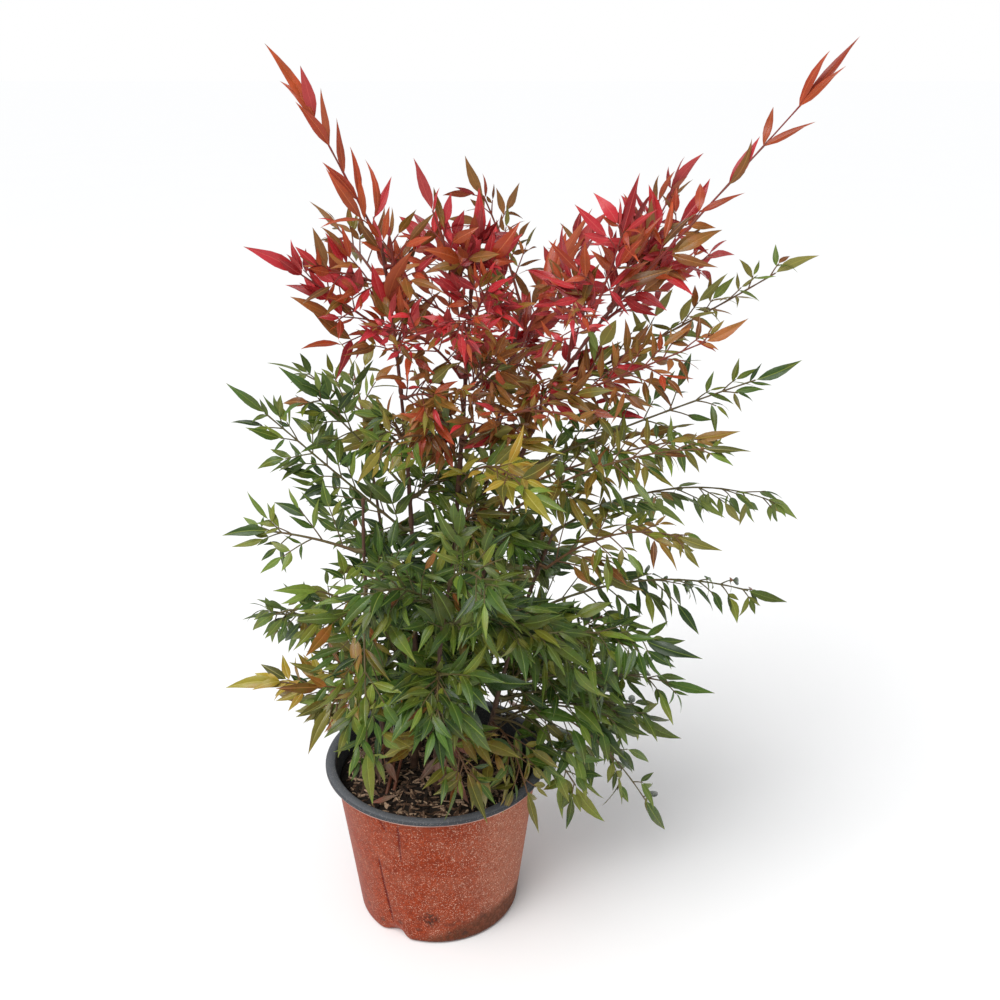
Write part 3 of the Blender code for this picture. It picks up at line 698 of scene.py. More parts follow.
def bed_top():
    """The part of the bed that chips can lie on: a plain net over the soil, a little inside the wall."""
    count, reach = NET_SQUARES, wall_radius(SOIL_TOP) - WALL - NET_MARGIN
    points, index, faces = [], {}, []
    for i in range(count + 1):
        for j in range(count + 1):
            x, y = reach * (2 * i / count - 1), reach * (2 * j / count - 1)
            if math.hypot(x, y) <= reach:
                index[i, j] = len(points)
                points.append((x, y, soil_height(x, y) + NET_LIFT))
    for i, j in index:
        corners = [(i, j), (i + 1, j), (i + 1, j + 1), (i, j + 1)]
        if all(c in index for c in corners):
            faces.append([index[c] for c in corners])
    return new_mesh("bed_top", points, faces, smooth=False)


chip_store = shape_store("chip", [chip_shape(k) for k in range(CHIP_KINDS)])
split_bark = chip_finish()
given = {"Density": CHIP_DENSITY, "Seed": CHIP_SEED, "Length": CHIP_LENGTH}
strewn = chip_tree().run("bark_chips", bed_top(), Shapes=chip_store, Finish=split_bark.material, **given)
empty_store(chip_store)
chips = add_piece("bark_chips", strewn, split_bark)
print("chips:", len(strewn.polygons) // CHIP_FACES)

# %% [markdown]
# ## The canes' lines
# Eight canes stand in the soil. Each is a curve that leaves the soil at `foot`, heads for its `knee` and
# ends at its `tip`, just as in the CAD source. Here the curve is followed in steps of two millimetres, and
# its girth swells at the old leaf bases, which ring a cane every few centimetres.

# %% Repeat the canes of the source and follow them finely
Cane = namedtuple("Cane", "name foot knee tip")
CANES = [
    Cane("cane_centre", (0.002, 0.008), (0.020, 0.010, 0.36), (0.034, 0.010, 0.545)),
    Cane("cane_left", (-0.020, 0.002), (-0.006, 0.000, 0.38), (-0.030, 0.000, 0.575)),
    Cane("cane_right", (0.019, -0.003), (0.030, 0.000, 0.42), (0.152, 0.000, 0.548)),
    Cane("cane_back", (0.014, 0.030), (0.030, 0.048, 0.34), (0.072, 0.066, 0.515)),
    Cane("cane_back_left", (-0.017, 0.030), (-0.038, 0.050, 0.26), (-0.058, 0.082, 0.410)),
    Cane("cane_low_left", (-0.036, -0.014), (-0.056, -0.022, 0.26), (-0.048, -0.034, 0.395)),
    Cane("cane_low_right", (0.038, -0.010), (0.056, -0.016, 0.25), (0.096, -0.020, 0.360)),
    Cane("cane_front", (0.003, -0.030), (0.000, -0.046, 0.24), (0.018, -0.078, 0.345)),
]

CANE_FOOT_RADIUS = 0.0042
CANE_TIP_RADIUS = 0.0015
CANE_FLARE = 1.35
CANE_FLARE_HEIGHT = 0.016
CANE_BURIED = 0.004
CANE_STEP = 0.002
# How thick a cane is between its leaf bases, as a share of the radii above: one cane, and all others.
SLIMNESS = {"cane_centre": 0.80}
SLIMNESS_ELSE = 0.66
# The first leaf base stands this far up a cane, and the next ones this far from each other.
FIRST_RING = (0.01, 0.02)
RING_SPACING = (0.016, 0.034)
# A leaf base is a sharp ring and a softer swelling above it: the share of the radius, the place, the width.
RING_SWELLS = [(0.30, 0, 0.0022), (0.12, 0.006, 0.005)]


def bend(start, knee, end, share):
    """A point on the curve that leaves start towards knee and ends at end."""
    return start * (1 - share) ** 2 + knee * (2 * share * (1 - share)) + end * share**2


def cane_radius(height, share):
    plain = CANE_FOOT_RADIUS + (CANE_TIP_RADIUS - CANE_FOOT_RADIUS) * share**0.6
    near_soil = max(0, 1 - (height - SOIL_TOP) / CANE_FLARE_HEIGHT)
    return plain * (1 + (CANE_FLARE - 1) * near_soil)


def cane_points(cane, count):
    foot = Vector((*cane.foot, SOIL_TOP - CANE_BURIED))
    return [bend(foot, Vector(cane.knee), Vector(cane.tip), k / count) for k in range(count + 1)]


def hump(distance, width):
    """A smooth hump: 1 at no distance, fading to 0 over a few widths."""
    return math.exp(-((distance / width) ** 2))


def cane_girths(cane, points, chance):
    """The radius at each point: thinner upwards, swollen at each old leaf base."""
    reach = (Vector(cane.tip) - points[0]).length
    rings, along = [], chance.uniform(*FIRST_RING)
    while along < reach:
        rings.append(along)
        along += chance.uniform(*RING_SPACING)
    girths, travelled = [], 0.0
    for k, point in enumerate(points):
        travelled += (point - points[k - 1]).length if k else 0
        girth = SLIMNESS.get(cane.name, SLIMNESS_ELSE)
        for share, above, width in RING_SWELLS:
            girth += sum(share * hump(travelled - ring - above, width) for ring in rings)
        girths.append(cane_radius(point.z, k / (len(points) - 1)) * girth)
    return girths


# %% [markdown]
# ## The rule of growth
# A leaf of heavenly bamboo is compound: a thin stalk carries pairs of side twigs, and every twig carries
# one, three or five leaflets. The source grows each spray by a seeded rule with leaflets larger than life.
# The same rule is written again here, with more pairs, more leaflets to a twig and leaflets of natural size,
# and it ends at the same tips, so that the crown keeps its reach.

# %% Repeat the sprays of the source
TOP = "tip"
Spray = namedtuple("Spray", "name cane height tip arch pairs leaflet lift tint")


def sprays(rows):
    """Sprays from rows in which each cane goes by its short name."""
    return [Spray(name, "cane_" + cane, *rest) for name, cane, *rest in rows]


# A spray leaves its cane at this height and ends at tip. arch is how far its middle rises, and lift is how
# far its side twigs turn up (or, below 0, hang).
SPRAYS = sprays([
    ("shoot_left", "left", TOP, (-0.101, 0.000, 0.717), 0.004, 4, 0.042, 0.4, "flame"),
    ("plume_left", "left", 0.515, (-0.121, -0.030, 0.586), 0.000, 3, 0.040, 0.4, "crimson"),
    ("plume_left_upper", "left", 0.548, (-0.088, 0.060, 0.600), 0.006, 3, 0.040, 0.3, "bronze"),
    ("centre_left_shoot", "centre", 0.530, (-0.006, -0.022, 0.643), 0.004, 3, 0.044, 0.5, "crimson"),
    ("centre_shoot", "centre", TOP, (0.044, 0.020, 0.618), 0.000, 3, 0.034, 0.6, "crimson"),
    ("arching_shoot", "back", TOP, (0.024, 0.062, 0.634), 0.034, 3, 0.042, 0.3, "bronze"),
    ("centre_right_shoot", "back", 0.490, (0.126, 0.080, 0.597), 0.002, 4, 0.040, 0.4, "flame"),
    ("red_core_left", "centre", 0.478, (-0.040, -0.095, 0.532), 0.035, 4, 0.050, -0.1, "crimson"),
    ("red_core_front", "centre", 0.500, (0.030, -0.120, 0.524), 0.045, 4, 0.052, -0.1, "crimson"),
    ("red_core_right", "right", 0.492, (0.106, -0.100, 0.548), 0.030, 4, 0.050, 0.0, "crimson"),
    ("red_core_back", "back", 0.505, (0.020, 0.150, 0.560), 0.000, 3, 0.046, 0.1, "crimson"),
    ("shoot_right", "right", TOP, (0.301, 0.000, 0.719), -0.004, 4, 0.052, 0.3, "flame"),
    ("red_high_right", "right", 0.535, (0.202, 0.062, 0.641), 0.000, 3, 0.046, 0.4, "crimson"),
    ("red_mid_right", "right", 0.515, (0.150, -0.036, 0.630), 0.000, 3, 0.046, 0.3, "crimson"),
    ("red_back_right", "back", 0.468, (0.140, 0.130, 0.590), 0.004, 3, 0.046, 0.3, "crimson"),
    ("red_side_right", "right", 0.524, (0.243, 0.092, 0.562), 0.010, 3, 0.042, 0.2, "crimson"),
    ("olive_high_right", "right", 0.478, (0.296, 0.046, 0.568), -0.010, 4, 0.044, 0.3, "olive"),
    ("bronze_side_right", "right", 0.465, (0.229, -0.050, 0.532), -0.004, 4, 0.050, 0.1, "bronze"),
    ("bronze_front", "centre", 0.430, (0.112, -0.146, 0.488), 0.030, 4, 0.050, 0.0, "bronze"),
    ("green_high_right", "right", 0.410, (0.277, -0.026, 0.497), 0.004, 4, 0.044, 0.2, "fresh_green"),
    ("olive_front_right", "right", 0.372, (0.229, -0.085, 0.450), 0.036, 5, 0.048, -0.1, "olive"),
    ("green_tip_right", "low_right", TOP, (0.308, 0.056, 0.346), 0.060, 4, 0.050, -0.2, "fresh_green"),
    ("green_side_right", "low_right", 0.334, (0.214, -0.086, 0.372), 0.046, 4, 0.050, -0.2, "olive"),
    ("green_long_right", "low_right", 0.292, (0.288, -0.018, 0.296), 0.052, 4, 0.046, -0.2, "deep_green"),
    ("green_mid_right", "low_right", 0.262, (0.202, -0.102, 0.292), 0.036, 4, 0.048, -0.2, "deep_green"),
    ("green_low_right", "low_right", 0.225, (0.225, -0.060, 0.238), 0.030, 4, 0.044, -0.1, "deep_green"),
    ("droop_right", "low_right", 0.196, (0.206, 0.006, 0.050), 0.090, 4, 0.046, -0.1, "fresh_green"),
    ("skirt_right", "low_right", 0.172, (0.140, 0.056, 0.078), 0.080, 3, 0.040, -0.1, "fresh_green"),
    ("front_hanging", "low_left", 0.318, (-0.040, -0.146, 0.196), 0.085, 3, 0.060, -0.1, "fresh_green"),
    ("front_middle", "front", 0.262, (0.012, -0.160, 0.236), 0.050, 4, 0.056, -0.1, "deep_green"),
    ("front_low", "front", 0.206, (0.044, -0.116, 0.158), 0.030, 3, 0.056, -0.1, "olive"),
    ("front_right", "front", 0.300, (0.122, -0.134, 0.300), 0.050, 4, 0.056, -0.1, "deep_green"),
    ("front_top", "front", TOP, (0.060, -0.172, 0.362), 0.040, 4, 0.056, -0.1, "deep_green"),
    ("inner_left", "front", 0.322, (-0.062, -0.118, 0.330), 0.045, 4, 0.052, -0.1, "deep_green"),
    ("droop_left", "low_left", 0.232, (-0.098, -0.086, 0.204), 0.030, 3, 0.050, -0.1, "olive"),
    ("yellow_left", "low_left", 0.208, (-0.173, -0.020, 0.229), 0.014, 4, 0.042, 0.0, "gold"),
    ("low_left", "low_left", 0.268, (-0.168, 0.058, 0.246), 0.022, 3, 0.042, 0.0, "deep_green"),
    ("side_left", "low_left", 0.300, (-0.117, -0.054, 0.332), 0.010, 4, 0.048, 0.0, "fresh_green"),
    ("long_left", "low_left", 0.350, (-0.158, -0.036, 0.371), 0.010, 4, 0.048, 0.0, "fresh_green"),
    ("high_left", "left", 0.355, (-0.153, 0.004, 0.477), -0.004, 4, 0.044, 0.2, "deep_green"),
    ("high_left_front", "left", 0.395, (-0.098, -0.050, 0.503), 0.000, 3, 0.044, 0.3, "deep_green"),
    ("high_left_back", "left", 0.425, (-0.134, 0.082, 0.472), 0.016, 3, 0.044, 0.1, "fresh_green"),
    ("gold_front", "centre", 0.392, (0.084, -0.166, 0.430), 0.050, 4, 0.056, 0.0, "gold"),
    ("olive_front_left", "centre", 0.415, (-0.040, -0.128, 0.446), 0.045, 4, 0.050, -0.1, "olive"),
    ("back_top", "back", 0.420, (0.100, 0.178, 0.486), 0.016, 3, 0.050, 0.1, "bronze"),
    ("back_side_right", "back", 0.345, (0.176, 0.138, 0.400), 0.030, 4, 0.050, -0.1, "fresh_green"),
    ("back_low_right", "back", 0.270, (0.140, 0.126, 0.270), 0.030, 4, 0.048, -0.1, "olive"),
    ("back_middle", "back", 0.308, (0.014, 0.174, 0.348), 0.030, 4, 0.050, -0.1, "deep_green"),
    ("back_high_left", "back_left", TOP, (-0.084, 0.158, 0.470), 0.016, 4, 0.050, 0.1, "olive"),
    ("back_low_left", "back_left", 0.290, (-0.110, 0.124, 0.316), 0.024, 3, 0.048, 0.0, "fresh_green"),
])
print(len(SPRAYS), "sprays to grow")

# %% [markdown]
# ## The stalk of a spray
# A stalk clasps its cane with a sheath, bends over its knee and ends where the end leaflet begins. The same
# three points as in the source give the curve; it is only followed in finer steps, and it starts inside the
# cane so that no gap shows.

# %% Lines along a stalk
COLLAR = 0.004
CANE_HALF = 0.0025
LINE_POINTS = 26
SEARCH_POINTS = 200


def place_on_cane(cane, height):
    """Where a stalk at this height meets the cane's centre line, and the cane's direction there."""
    points = cane_points(cane, SEARCH_POINTS)
    if height == TOP:
        return points[-1], (points[-1] - points[-2]).normalized()
    for low, high in zip(points, points[1:]):
        if low.z <= height <= high.z:
            return low.lerp(high, (height - low.z) / (high.z - low.z)), (high - low).normalized()
    raise ValueError(f"{cane.name} doesn't reach {height}")


def stalk_line(spray):
    """Points along a compound leaf, from the middle of its cane to the tip of its end leaflet."""
    cane = next(c for c in CANES if c.name == spray.cane)
    centre, along = place_on_cane(cane, spray.height)
    tip = Vector(spray.tip)
    knee = centre.lerp(tip, 0.5) + Vector((0, 0, spray.arch))
    towards = knee - centre
    if spray.height == TOP:
        collar = centre + (along + towards.normalized()) * (COLLAR / 2)
    else:
        collar = centre + (towards - along * towards.dot(along)).normalized() * (CANE_HALF + COLLAR)
    return [centre] + [bend(collar, knee, tip, k / LINE_POINTS) for k in range(LINE_POINTS + 1)]


def arc_lengths(points):
    lengths = [0.0]
    for a, b in zip(points, points[1:]):
        lengths.append(lengths[-1] + (b - a).length)
    return lengths


def at_length(points, lengths, wanted):
    """The point and the direction at this distance along a line."""
    for i in range(len(points) - 1):
        if wanted <= lengths[i + 1] or i == len(points) - 2:
            share = (wanted - lengths[i]) / (lengths[i + 1] - lengths[i])
            return points[i].lerp(points[i + 1], min(1, share)), (points[i + 1] - points[i]).normalized()


# %% Which way a leaflet faces
NEARLY_UPRIGHT = 0.15
OPPOSED = 0.6


def upright_frame(along):
    side = along.cross(Vector((0, 0, 1)))
    side = side.normalized() if side.length > NEARLY_UPRIGHT else Vector((1, 0, 0))
    return side, side.cross(along).normalized()


def lit_frame(along, outlook, share):
    """The side and the upper face of a leaf that heads along, its face turned to its outlook by share."""
    up = upright_frame(along)[1]
    flat = outlook - along * outlook.dot(along)
    if flat.dot(up) < -OPPOSED * flat.length:
        flat.negate()
    share += (1 - share) * abs(along.z)
    face = (up * (1 - share) + flat * share).normalized()
    return along.cross(face).normalized(), face


# %% [markdown]
# ## How each tint grows
# On the real shrub the colour goes with the age and the light of a leaf, and so does its habit: the young
# red shoots are slender and stand up, the green ones below are broad and hang. So a table gives each tint
# its own habit, and each spray deals its own tint to most of its leaflets and its neighbours' to the rest.

# %% Deal out the tints
DEALT = {
    "flame": [("flame", 0.66), ("crimson", 0.14), ("bronze", 0.20)],
    "crimson": [("crimson", 0.58), ("flame", 0.24), ("bronze", 0.18)],
    "rust": [("flame", 0.42), ("bronze", 0.36), ("crimson", 0.22)],
    "bronze": [("bronze", 0.62), ("flame", 0.10), ("crimson", 0.06), ("olive", 0.22)],
    "olive": [("olive", 0.60), ("fresh_green", 0.34), ("bronze", 0.06)],
    "gold": [("gold", 0.50), ("olive", 0.30), ("fresh_green", 0.20)],
    "yellow": [("gold", 0.85), ("olive", 0.15)],
    "fresh_green": [("fresh_green", 0.62), ("deep_green", 0.30), ("olive", 0.07), ("bronze", 0.01)],
    "deep_green": [("deep_green", 0.70), ("fresh_green", 0.29), ("bronze", 0.01)],
    "dry": [("dry", 1.0)],
}
# How red the stalks of each tint are, from green at 0 to red at 1.
RUDDY = {
    "flame": 1.0, "crimson": 1.0, "rust": 0.9, "bronze": 0.8, "olive": 0.35,
    "gold": 0.3, "yellow": 0.5, "fresh_green": 0.12, "deep_green": 0.05, "dry": 0.5,
}


def dealt_tint(tint, chance):
    left = chance.random()
    for name, share in DEALT[tint]:
        left -= share
        if left < 0:
            return name
    return tint


# %% The habit of each tint
Habit = namedtuple("Habit", "leaf spread arm extra bare hang")
# The length of a leaflet, the spread of its side twigs in degrees, their length, extra pairs, where they
# start along the stalk, and how far the leaflets hang.
HABITS = {
    "flame": Habit(0.045, (14, 42), 0.30, 0, 0.16, (-0.30, 0.10)),
    "crimson": Habit(0.031, (24, 60), 0.95, 3, 0.14, (-0.35, 0.25)),
    "rust": Habit(0.033, (24, 60), 0.95, 2, 0.14, (-0.40, 0.15)),
    "bronze": Habit(0.031, (26, 60), 0.95, 3, 0.14, (-0.15, 0.30)),
    "olive": Habit(0.033, (28, 60), 1.00, 4, 0.14, (-0.05, 0.40)),
    "gold": Habit(0.042, (24, 52), 0.70, 1, 0.20, (-0.30, 0.05)),
    "yellow": Habit(0.050, (8, 24), 0.30, 1, 0.30, (-0.12, 0.06)),
    "fresh_green": Habit(0.034, (28, 60), 1.00, 4, 0.12, (0.00, 0.45)),
    "deep_green": Habit(0.035, (28, 62), 1.10, 5, 0.08, (0.00, 0.50)),
    "dry": Habit(0.032, (30, 60), 0.60, 0, 0.30, (0.40, 1.10)),
}
SLENDER = {"flame": 0.72, "yellow": 0.74}
STEADY = ("flame", "yellow")
print(len(HABITS), "habits of growth")

# %% Which sprays are open, layered or large-leaved
# The share of side twigs that a spray lacks, so that the sky shows where it does in the real crown.
MISSING_ARM = 0.08
OPEN = {
    "shoot_left": 0.0, "shoot_right": 0.0, "centre_shoot": 0.45, "centre_left_shoot": 0.40,
    "centre_right_shoot": 0.40, "arching_shoot": 0.35, "plume_left": 0.20, "plume_left_upper": 0.70,
    "red_core_left": 0.30, "red_core_front": 0.25, "red_core_right": 0.25, "red_mid_right": 0.38,
    "red_high_left": 0.30, "red_high_right": 0.30, "red_peak_right": 0.35, "red_side_right": 0.20,
    "red_fill_right": 0.30, "rust_peak_left": 0.30, "bronze_front": 0.60, "gold_front": 0.20,
    "olive_high_right": 0.10, "olive_front_right": 0.25, "olive_front_left": 0.84,
    "green_high_right": 0.10, "green_tip_right": 0.15, "green_side_right": 0.15, "green_long_right": 0.15,
    "high_left_front": 0.76, "high_left_back": 0.82, "back_high_left": 0.88, "back_side_right": 0.35,
    "side_left": 0.88, "long_left": 0.50, "low_left": 0.40, "low_side_left": 0.30, "yellow_left": 0.12,
    "front_low": 0.72, "front_top": 0.35, "droop_left": 0.38, "droop_right": 0.50, "skirt_right": 0.50,
    "over_rim_right": 0.50, "trio_right": 0.55,
}
# Places in metres: towards the viewer from here, to the far right, to the far left, and heights.
IN_FRONT = -0.08
FAR_RIGHT = 0.15
FAR_LEFT = -0.09
RAISED_FROM = 0.34
CROWN_FROM = 0.585
LOW_BELOW = 0.31
# How much the leaflets high on the left stand up, and how much those of the layers on the right hang.
RAISED = 0.38
LAYER_HANG = 0.10
LARGE_LEAVED = ("droop_right", "skirt_right", "low_side_right", "trio_right")
# The size of the leaflets against the plain habit: in the large-leaved sprays, high in the red, in the red
# heart, low in front, and in the middle of the front.
LARGE_LEAF = 1.30
HIGH_LEAF = 1.28
HEART_LEAF = 0.76
FRONT_LEAF = 1.18
MIDDLE_LEAF = 0.94


def covered(spray):
    """Stalks that come forward in the low front carry leaflets on top too, so that they don't lie bare."""
    return spray.tip[1] < IN_FRONT and spray.tint in ("deep_green", "fresh_green")


def layered(spray):
    """Sprays on the right arch out in flat layers, one over another."""
    return spray.tip[0] > FAR_RIGHT and spray.tint not in ("flame", "crimson")


def hang_shift(spray):
    """Leaflets high on the left stand up from their stalks, and those on the right hang a little more."""
    if spray.tip[0] < FAR_LEFT and spray.tip[2] > RAISED_FROM:
        return -RAISED
    return LAYER_HANG if layered(spray) else 0.0


def nearness(spray):
    """Leaflets are large low on the plant and high in the red, and small in the red heart."""
    if spray.tint == "crimson" and spray.tip[2] > CROWN_FROM:
        return HIGH_LEAF
    if spray.name in LARGE_LEAVED:
        return LARGE_LEAF
    if spray.tip[1] > IN_FRONT or spray.tint in ("yellow", "dry"):
        return 1.0
    if spray.tint in ("crimson", "bronze"):
        return HEART_LEAF
    return FRONT_LEAF if spray.tip[2] < LOW_BELOW else MIDDLE_LEAF


# %% Keep the front of the pot clear
CLEAR_OF_SOIL = 0.205
HANGING = ("front_hanging", "droop_right", "skirt_right", "over_rim_right", "trio_right")
SPARSE = "front_low"
SPARSE_FLOOR = 0.150
DRY_FLOOR = 0.132
BACK_HALF = 0.02
OUTSIDE_POT = 0.135


def over_soil(spray, tip):
    """True where a leaflet would hang into the open space over the front of the pot."""
    if spray.tint == "dry":
        return tip.z < DRY_FLOOR
    if spray.name in HANGING or tip.y > BACK_HALF or math.hypot(tip.x, tip.y) > OUTSIDE_POT:
        return False
    return tip.z < (SPARSE_FLOOR if spray.name == SPARSE else CLEAR_OF_SOIL)


# %% Add one leaflet
SHAPES = 6
LEAF_VARIES = (0.52, 1.12)
STEADY_VARIES = (0.80, 0.35)
WIDE_VARIES = (0.70, 1.32)
ROUNDER = 1.35
MISSING_LEAF = 0.07
LIT_VARIES = (0.05, 0.70)
LAYER_LIT_LESS = 0.6
ROLL = 0.42

Leaf = namedtuple("Leaf", "root along face length wide shape shade tint")
Twig = namedtuple("Twig", "points radii ruddy")


class Plant:
    """What has grown so far: leaflets and twigs of the whole plant."""

    def __init__(self):
        self.leaves = []
        self.twigs = []

    def add_leaf(self, spray, root, along, outlook, length, chance):
        habit = HABITS[spray.tint]
        hang = chance.uniform(*habit.hang) + hang_shift(spray)
        along = (along.normalized() - Vector((0, 0, hang))).normalized()
        lit = chance.uniform(*LIT_VARIES) * (LAYER_LIT_LESS if layered(spray) else 1)
        side, face = lit_frame(along, outlook, lit)
        face = (face + side * chance.gauss(0, ROLL)).normalized()
        varied = chance.uniform(*LEAF_VARIES)
        if spray.tint in STEADY:
            least, part = STEADY_VARIES
            varied = least + part * (varied - LEAF_VARIES[0])
        length *= habit.leaf * nearness(spray) * varied
        tint = dealt_tint(spray.tint, chance)
        # A short leaflet is rounder than a long one.
        wide = chance.uniform(*WIDE_VARIES) * (ROUNDER + (1 - ROUNDER) * varied) * SLENDER.get(spray.tint, 1)
        if chance.random() < MISSING_LEAF or over_soil(spray, root + along * length):
            return
        shape, shade = chance.randrange(SHAPES), chance.random()
        self.leaves.append(Leaf(root, along, face, length, wide, shape, shade, tint))


# %% Grow a side arm
FIVE_FROM = 0.020
THREE_FROM = 0.009
TWIG_RADIUS = 0.00060
TWIG_TIP_RADIUS = 0.00042
TWIG_STEPS = 4
TWIG_STRAY = 0.04
TWIG_SAG = (0.02, 0.14)
TWIG_LIT = 0.4
TRIO_SPREAD = (math.radians(28), math.radians(54))
TRIO_LIFT = 0.25
OUTER_SIZE = 0.88
INNER_SIZE = 0.80


def grow_arm(plant, spray, node, heading, outlook, arm, size, chance):
    """A side arm: one leaflet, or a twig with three or five."""
    if arm < THREE_FROM:
        plant.add_leaf(spray, node, heading, outlook, size, chance)
        return
    strays = chance.gauss(0, TWIG_STRAY), chance.gauss(0, TWIG_STRAY)
    sag = Vector((*strays, -chance.uniform(*TWIG_SAG))) * arm
    end = node + heading * arm + sag
    middle = node + heading * (arm * 0.5) - sag * 0.25
    points = [bend(node, middle, end, k / TWIG_STEPS) for k in range(TWIG_STEPS + 1)]
    thinner = TWIG_TIP_RADIUS - TWIG_RADIUS
    radii = [TWIG_RADIUS + thinner * k / TWIG_STEPS for k in range(TWIG_STEPS + 1)]
    plant.twigs.append(Twig(points, radii, RUDDY[spray.tint]))
    tail = (points[-1] - points[-2]).normalized()
    side, face = lit_frame(tail, outlook, TWIG_LIT)
    plant.add_leaf(spray, end, tail, outlook, size, chance)
    places = [(points[3], OUTER_SIZE)]
    if arm > FIVE_FROM:
        places.append((points[1].lerp(points[2], 0.5), INNER_SIZE))
    for root, shorter in places:
        for hand in (-1, 1):
            spread = chance.uniform(*TRIO_SPREAD)
            along = tail * math.cos(spread) + side * (hand * math.sin(spread))
            along += face * chance.uniform(-TRIO_LIFT, TRIO_LIFT)
            plant.add_leaf(spray, root, along, outlook, size * shorter, chance)


# %% Draw the stalk of a spray
LAST_PAIR = 0.975
STALK_RADIUS = 0.00110
STALK_TIP_RADIUS = 0.00050
SHEATH = 0.0012
SHEATH_LENGTH = 0.012
KNOT = 0.35
KNOT_WIDTH = 0.0045
LINE_MARGIN = 0.003


def stalk_girths(points, places):
    """A stalk's radius at each point: thinner outwards, sheathed at its foot, knotted at each pair."""
    lengths = arc_lengths(points)
    radii = []
    for reach in lengths:
        plain = STALK_RADIUS + (STALK_TIP_RADIUS - STALK_RADIUS) * (reach / lengths[-1]) ** 0.7
        knots = KNOT * sum(hump(reach - place, KNOT_WIDTH) for place in places)
        radii.append(plain * (1 + knots) + SHEATH * max(0, 1 - reach / SHEATH_LENGTH))
    return radii


def draw_stalk(plant, spray, line, lengths, stalk_end):
    """Adds the stalk and returns its points and the places of its pairs of arms."""
    habit = HABITS[spray.tint]
    points = [p for p, reach in zip(line, lengths) if reach < stalk_end - LINE_MARGIN]
    points.append(at_length(line, lengths, stalk_end)[0])
    pairs = spray.pairs + habit.extra
    places = [stalk_end * (habit.bare + (LAST_PAIR - habit.bare) * k / pairs) for k in range(pairs + 1)]
    plant.twigs.append(Twig(points, stalk_girths(points, places), RUDDY[spray.tint]))
    return points, places


# %% Grow one spray
SPRAY_SEED = 500
OUTLOOK_TURN = math.radians(35)
BACK_FROM = 0.04
END_LONG = {"flame": 1.30}
END_LONG_ELSE = 1.1
END_WIDE = {"flame": 0.50, "yellow": 0.70}
END_WIDE_ELSE = 0.9
END_SHAPE = 3
END_LIT = 0.5
LAYER_LIT = 0.15
SPRAY_LIT = 0.55
COVER_LEAF = 0.85
COVER_LIFT = 0.6
COVER_STRAY = 0.9
OPEN_FADE = 0.6
TIP_LOSS = 0.30
ARM_SHARE = 0.50
ARM_EXTRA = 0.22
ARM_VARIES = (0.75, 1.25)
SPREAD_LOSS = math.radians(14)
LIFT_VARIES = (0.5, 1.1)
LIFT_STRAY = (-0.35, 0.25)


def grow(plant, number, spray):
    """The twigs and leaflets of one spray, by the seeded rule that the whole plant follows."""
    chance = random.Random(SPRAY_SEED + number)
    line = stalk_line(spray)
    lengths = arc_lengths(line)
    habit = HABITS[spray.tint]
    stalk_end = lengths[-1] - habit.leaf * nearness(spray) * END_LONG.get(spray.tint, END_LONG_ELSE)
    points, places = draw_stalk(plant, spray, line, lengths, stalk_end)
    turn = chance.uniform(-OUTLOOK_TURN, OUTLOOK_TURN)
    outlook = Vector((math.sin(turn), (1 if spray.tip[1] > BACK_FROM else -1) * math.cos(turn), 0))
    end = line[-1] - points[-1]
    along, face = end.normalized(), lit_frame(end.normalized(), outlook, END_LIT)[1]
    wide = END_WIDE.get(spray.tint, END_WIDE_ELSE)
    last_leaf = Leaf(points[-1], along, face, end.length, wide, END_SHAPE, chance.random(), spray.tint)
    plant.leaves.append(last_leaf)
    for k, reach in enumerate(places):
        share = k / (len(places) - 1)
        node, along = at_length(line, lengths, reach)
        side, face = lit_frame(along, outlook, LAYER_LIT if layered(spray) else SPRAY_LIT)
        if covered(spray) and 0 < share < 1:
            upwards = along + face * COVER_LIFT + side * chance.uniform(-COVER_STRAY, COVER_STRAY)
            plant.add_leaf(spray, node, upwards, outlook, COVER_LEAF, chance)
        size = 1 - (0 if spray.tint in STEADY else TIP_LOSS) * share
        for hand in (-1, 1):
            if chance.random() < OPEN.get(spray.name, MISSING_ARM) * (1 - OPEN_FADE * share):
                continue
            spread = math.radians(chance.uniform(*habit.spread)) - SPREAD_LOSS * share
            turn = spray.lift * chance.uniform(*LIFT_VARIES) + chance.uniform(*LIFT_STRAY)
            heading = along * math.cos(spread) + side * (hand * math.sin(spread)) + face * turn
            arm = habit.arm * spray.leaflet * (ARM_SHARE * (1 - share) + ARM_EXTRA)
            arm *= chance.uniform(*ARM_VARIES)
            grow_arm(plant, spray, node, heading.normalized(), outlook, arm, size, chance)


# %% [markdown]
# ## Short leaves in the heart of the crown
# Between the long sprays each cane carries shorter leaves, close together, which hide the canes. Real ones
# stand round the cane in turn, each about 137 degrees from the one below, so a loop sets them in the same
# way. A last table adds sprays where the real crown is full.

# %% Short sprays up each cane
INNER_SEED = 77
INNER_FROM, INNER_TO = 0.195, 0.560
INNER_STAGGER = 0.004
INNER_TURN = 1.1
TOP_MARGIN = 0.015
INNER_SPACING = 0.036
SPACING_VARIES = (0.8, 1.2)
RED_FROM = 0.46
RED_OPENER = 1.3
INNER_REACH = (0.050, 0.090)
INNER_RISE = (0.005, 0.05)
# The arch, the pairs, the length of a leaflet and the lift of every short spray.
INNER_GROWTH = (0.015, 2, 0.040, 0.0)
GOLDEN_TURN = math.radians(137.5)
# The tints change at these heights, and the red ones from left to right at RUST_UP_TO.
TINT_STRAY = 0.03
GREEN_BELOW = 0.36
OLIVE_BELOW = 0.43
BRONZE_BELOW = 0.475
RUST_UP_TO = 0.03
MOSTLY_DEEP = 0.7
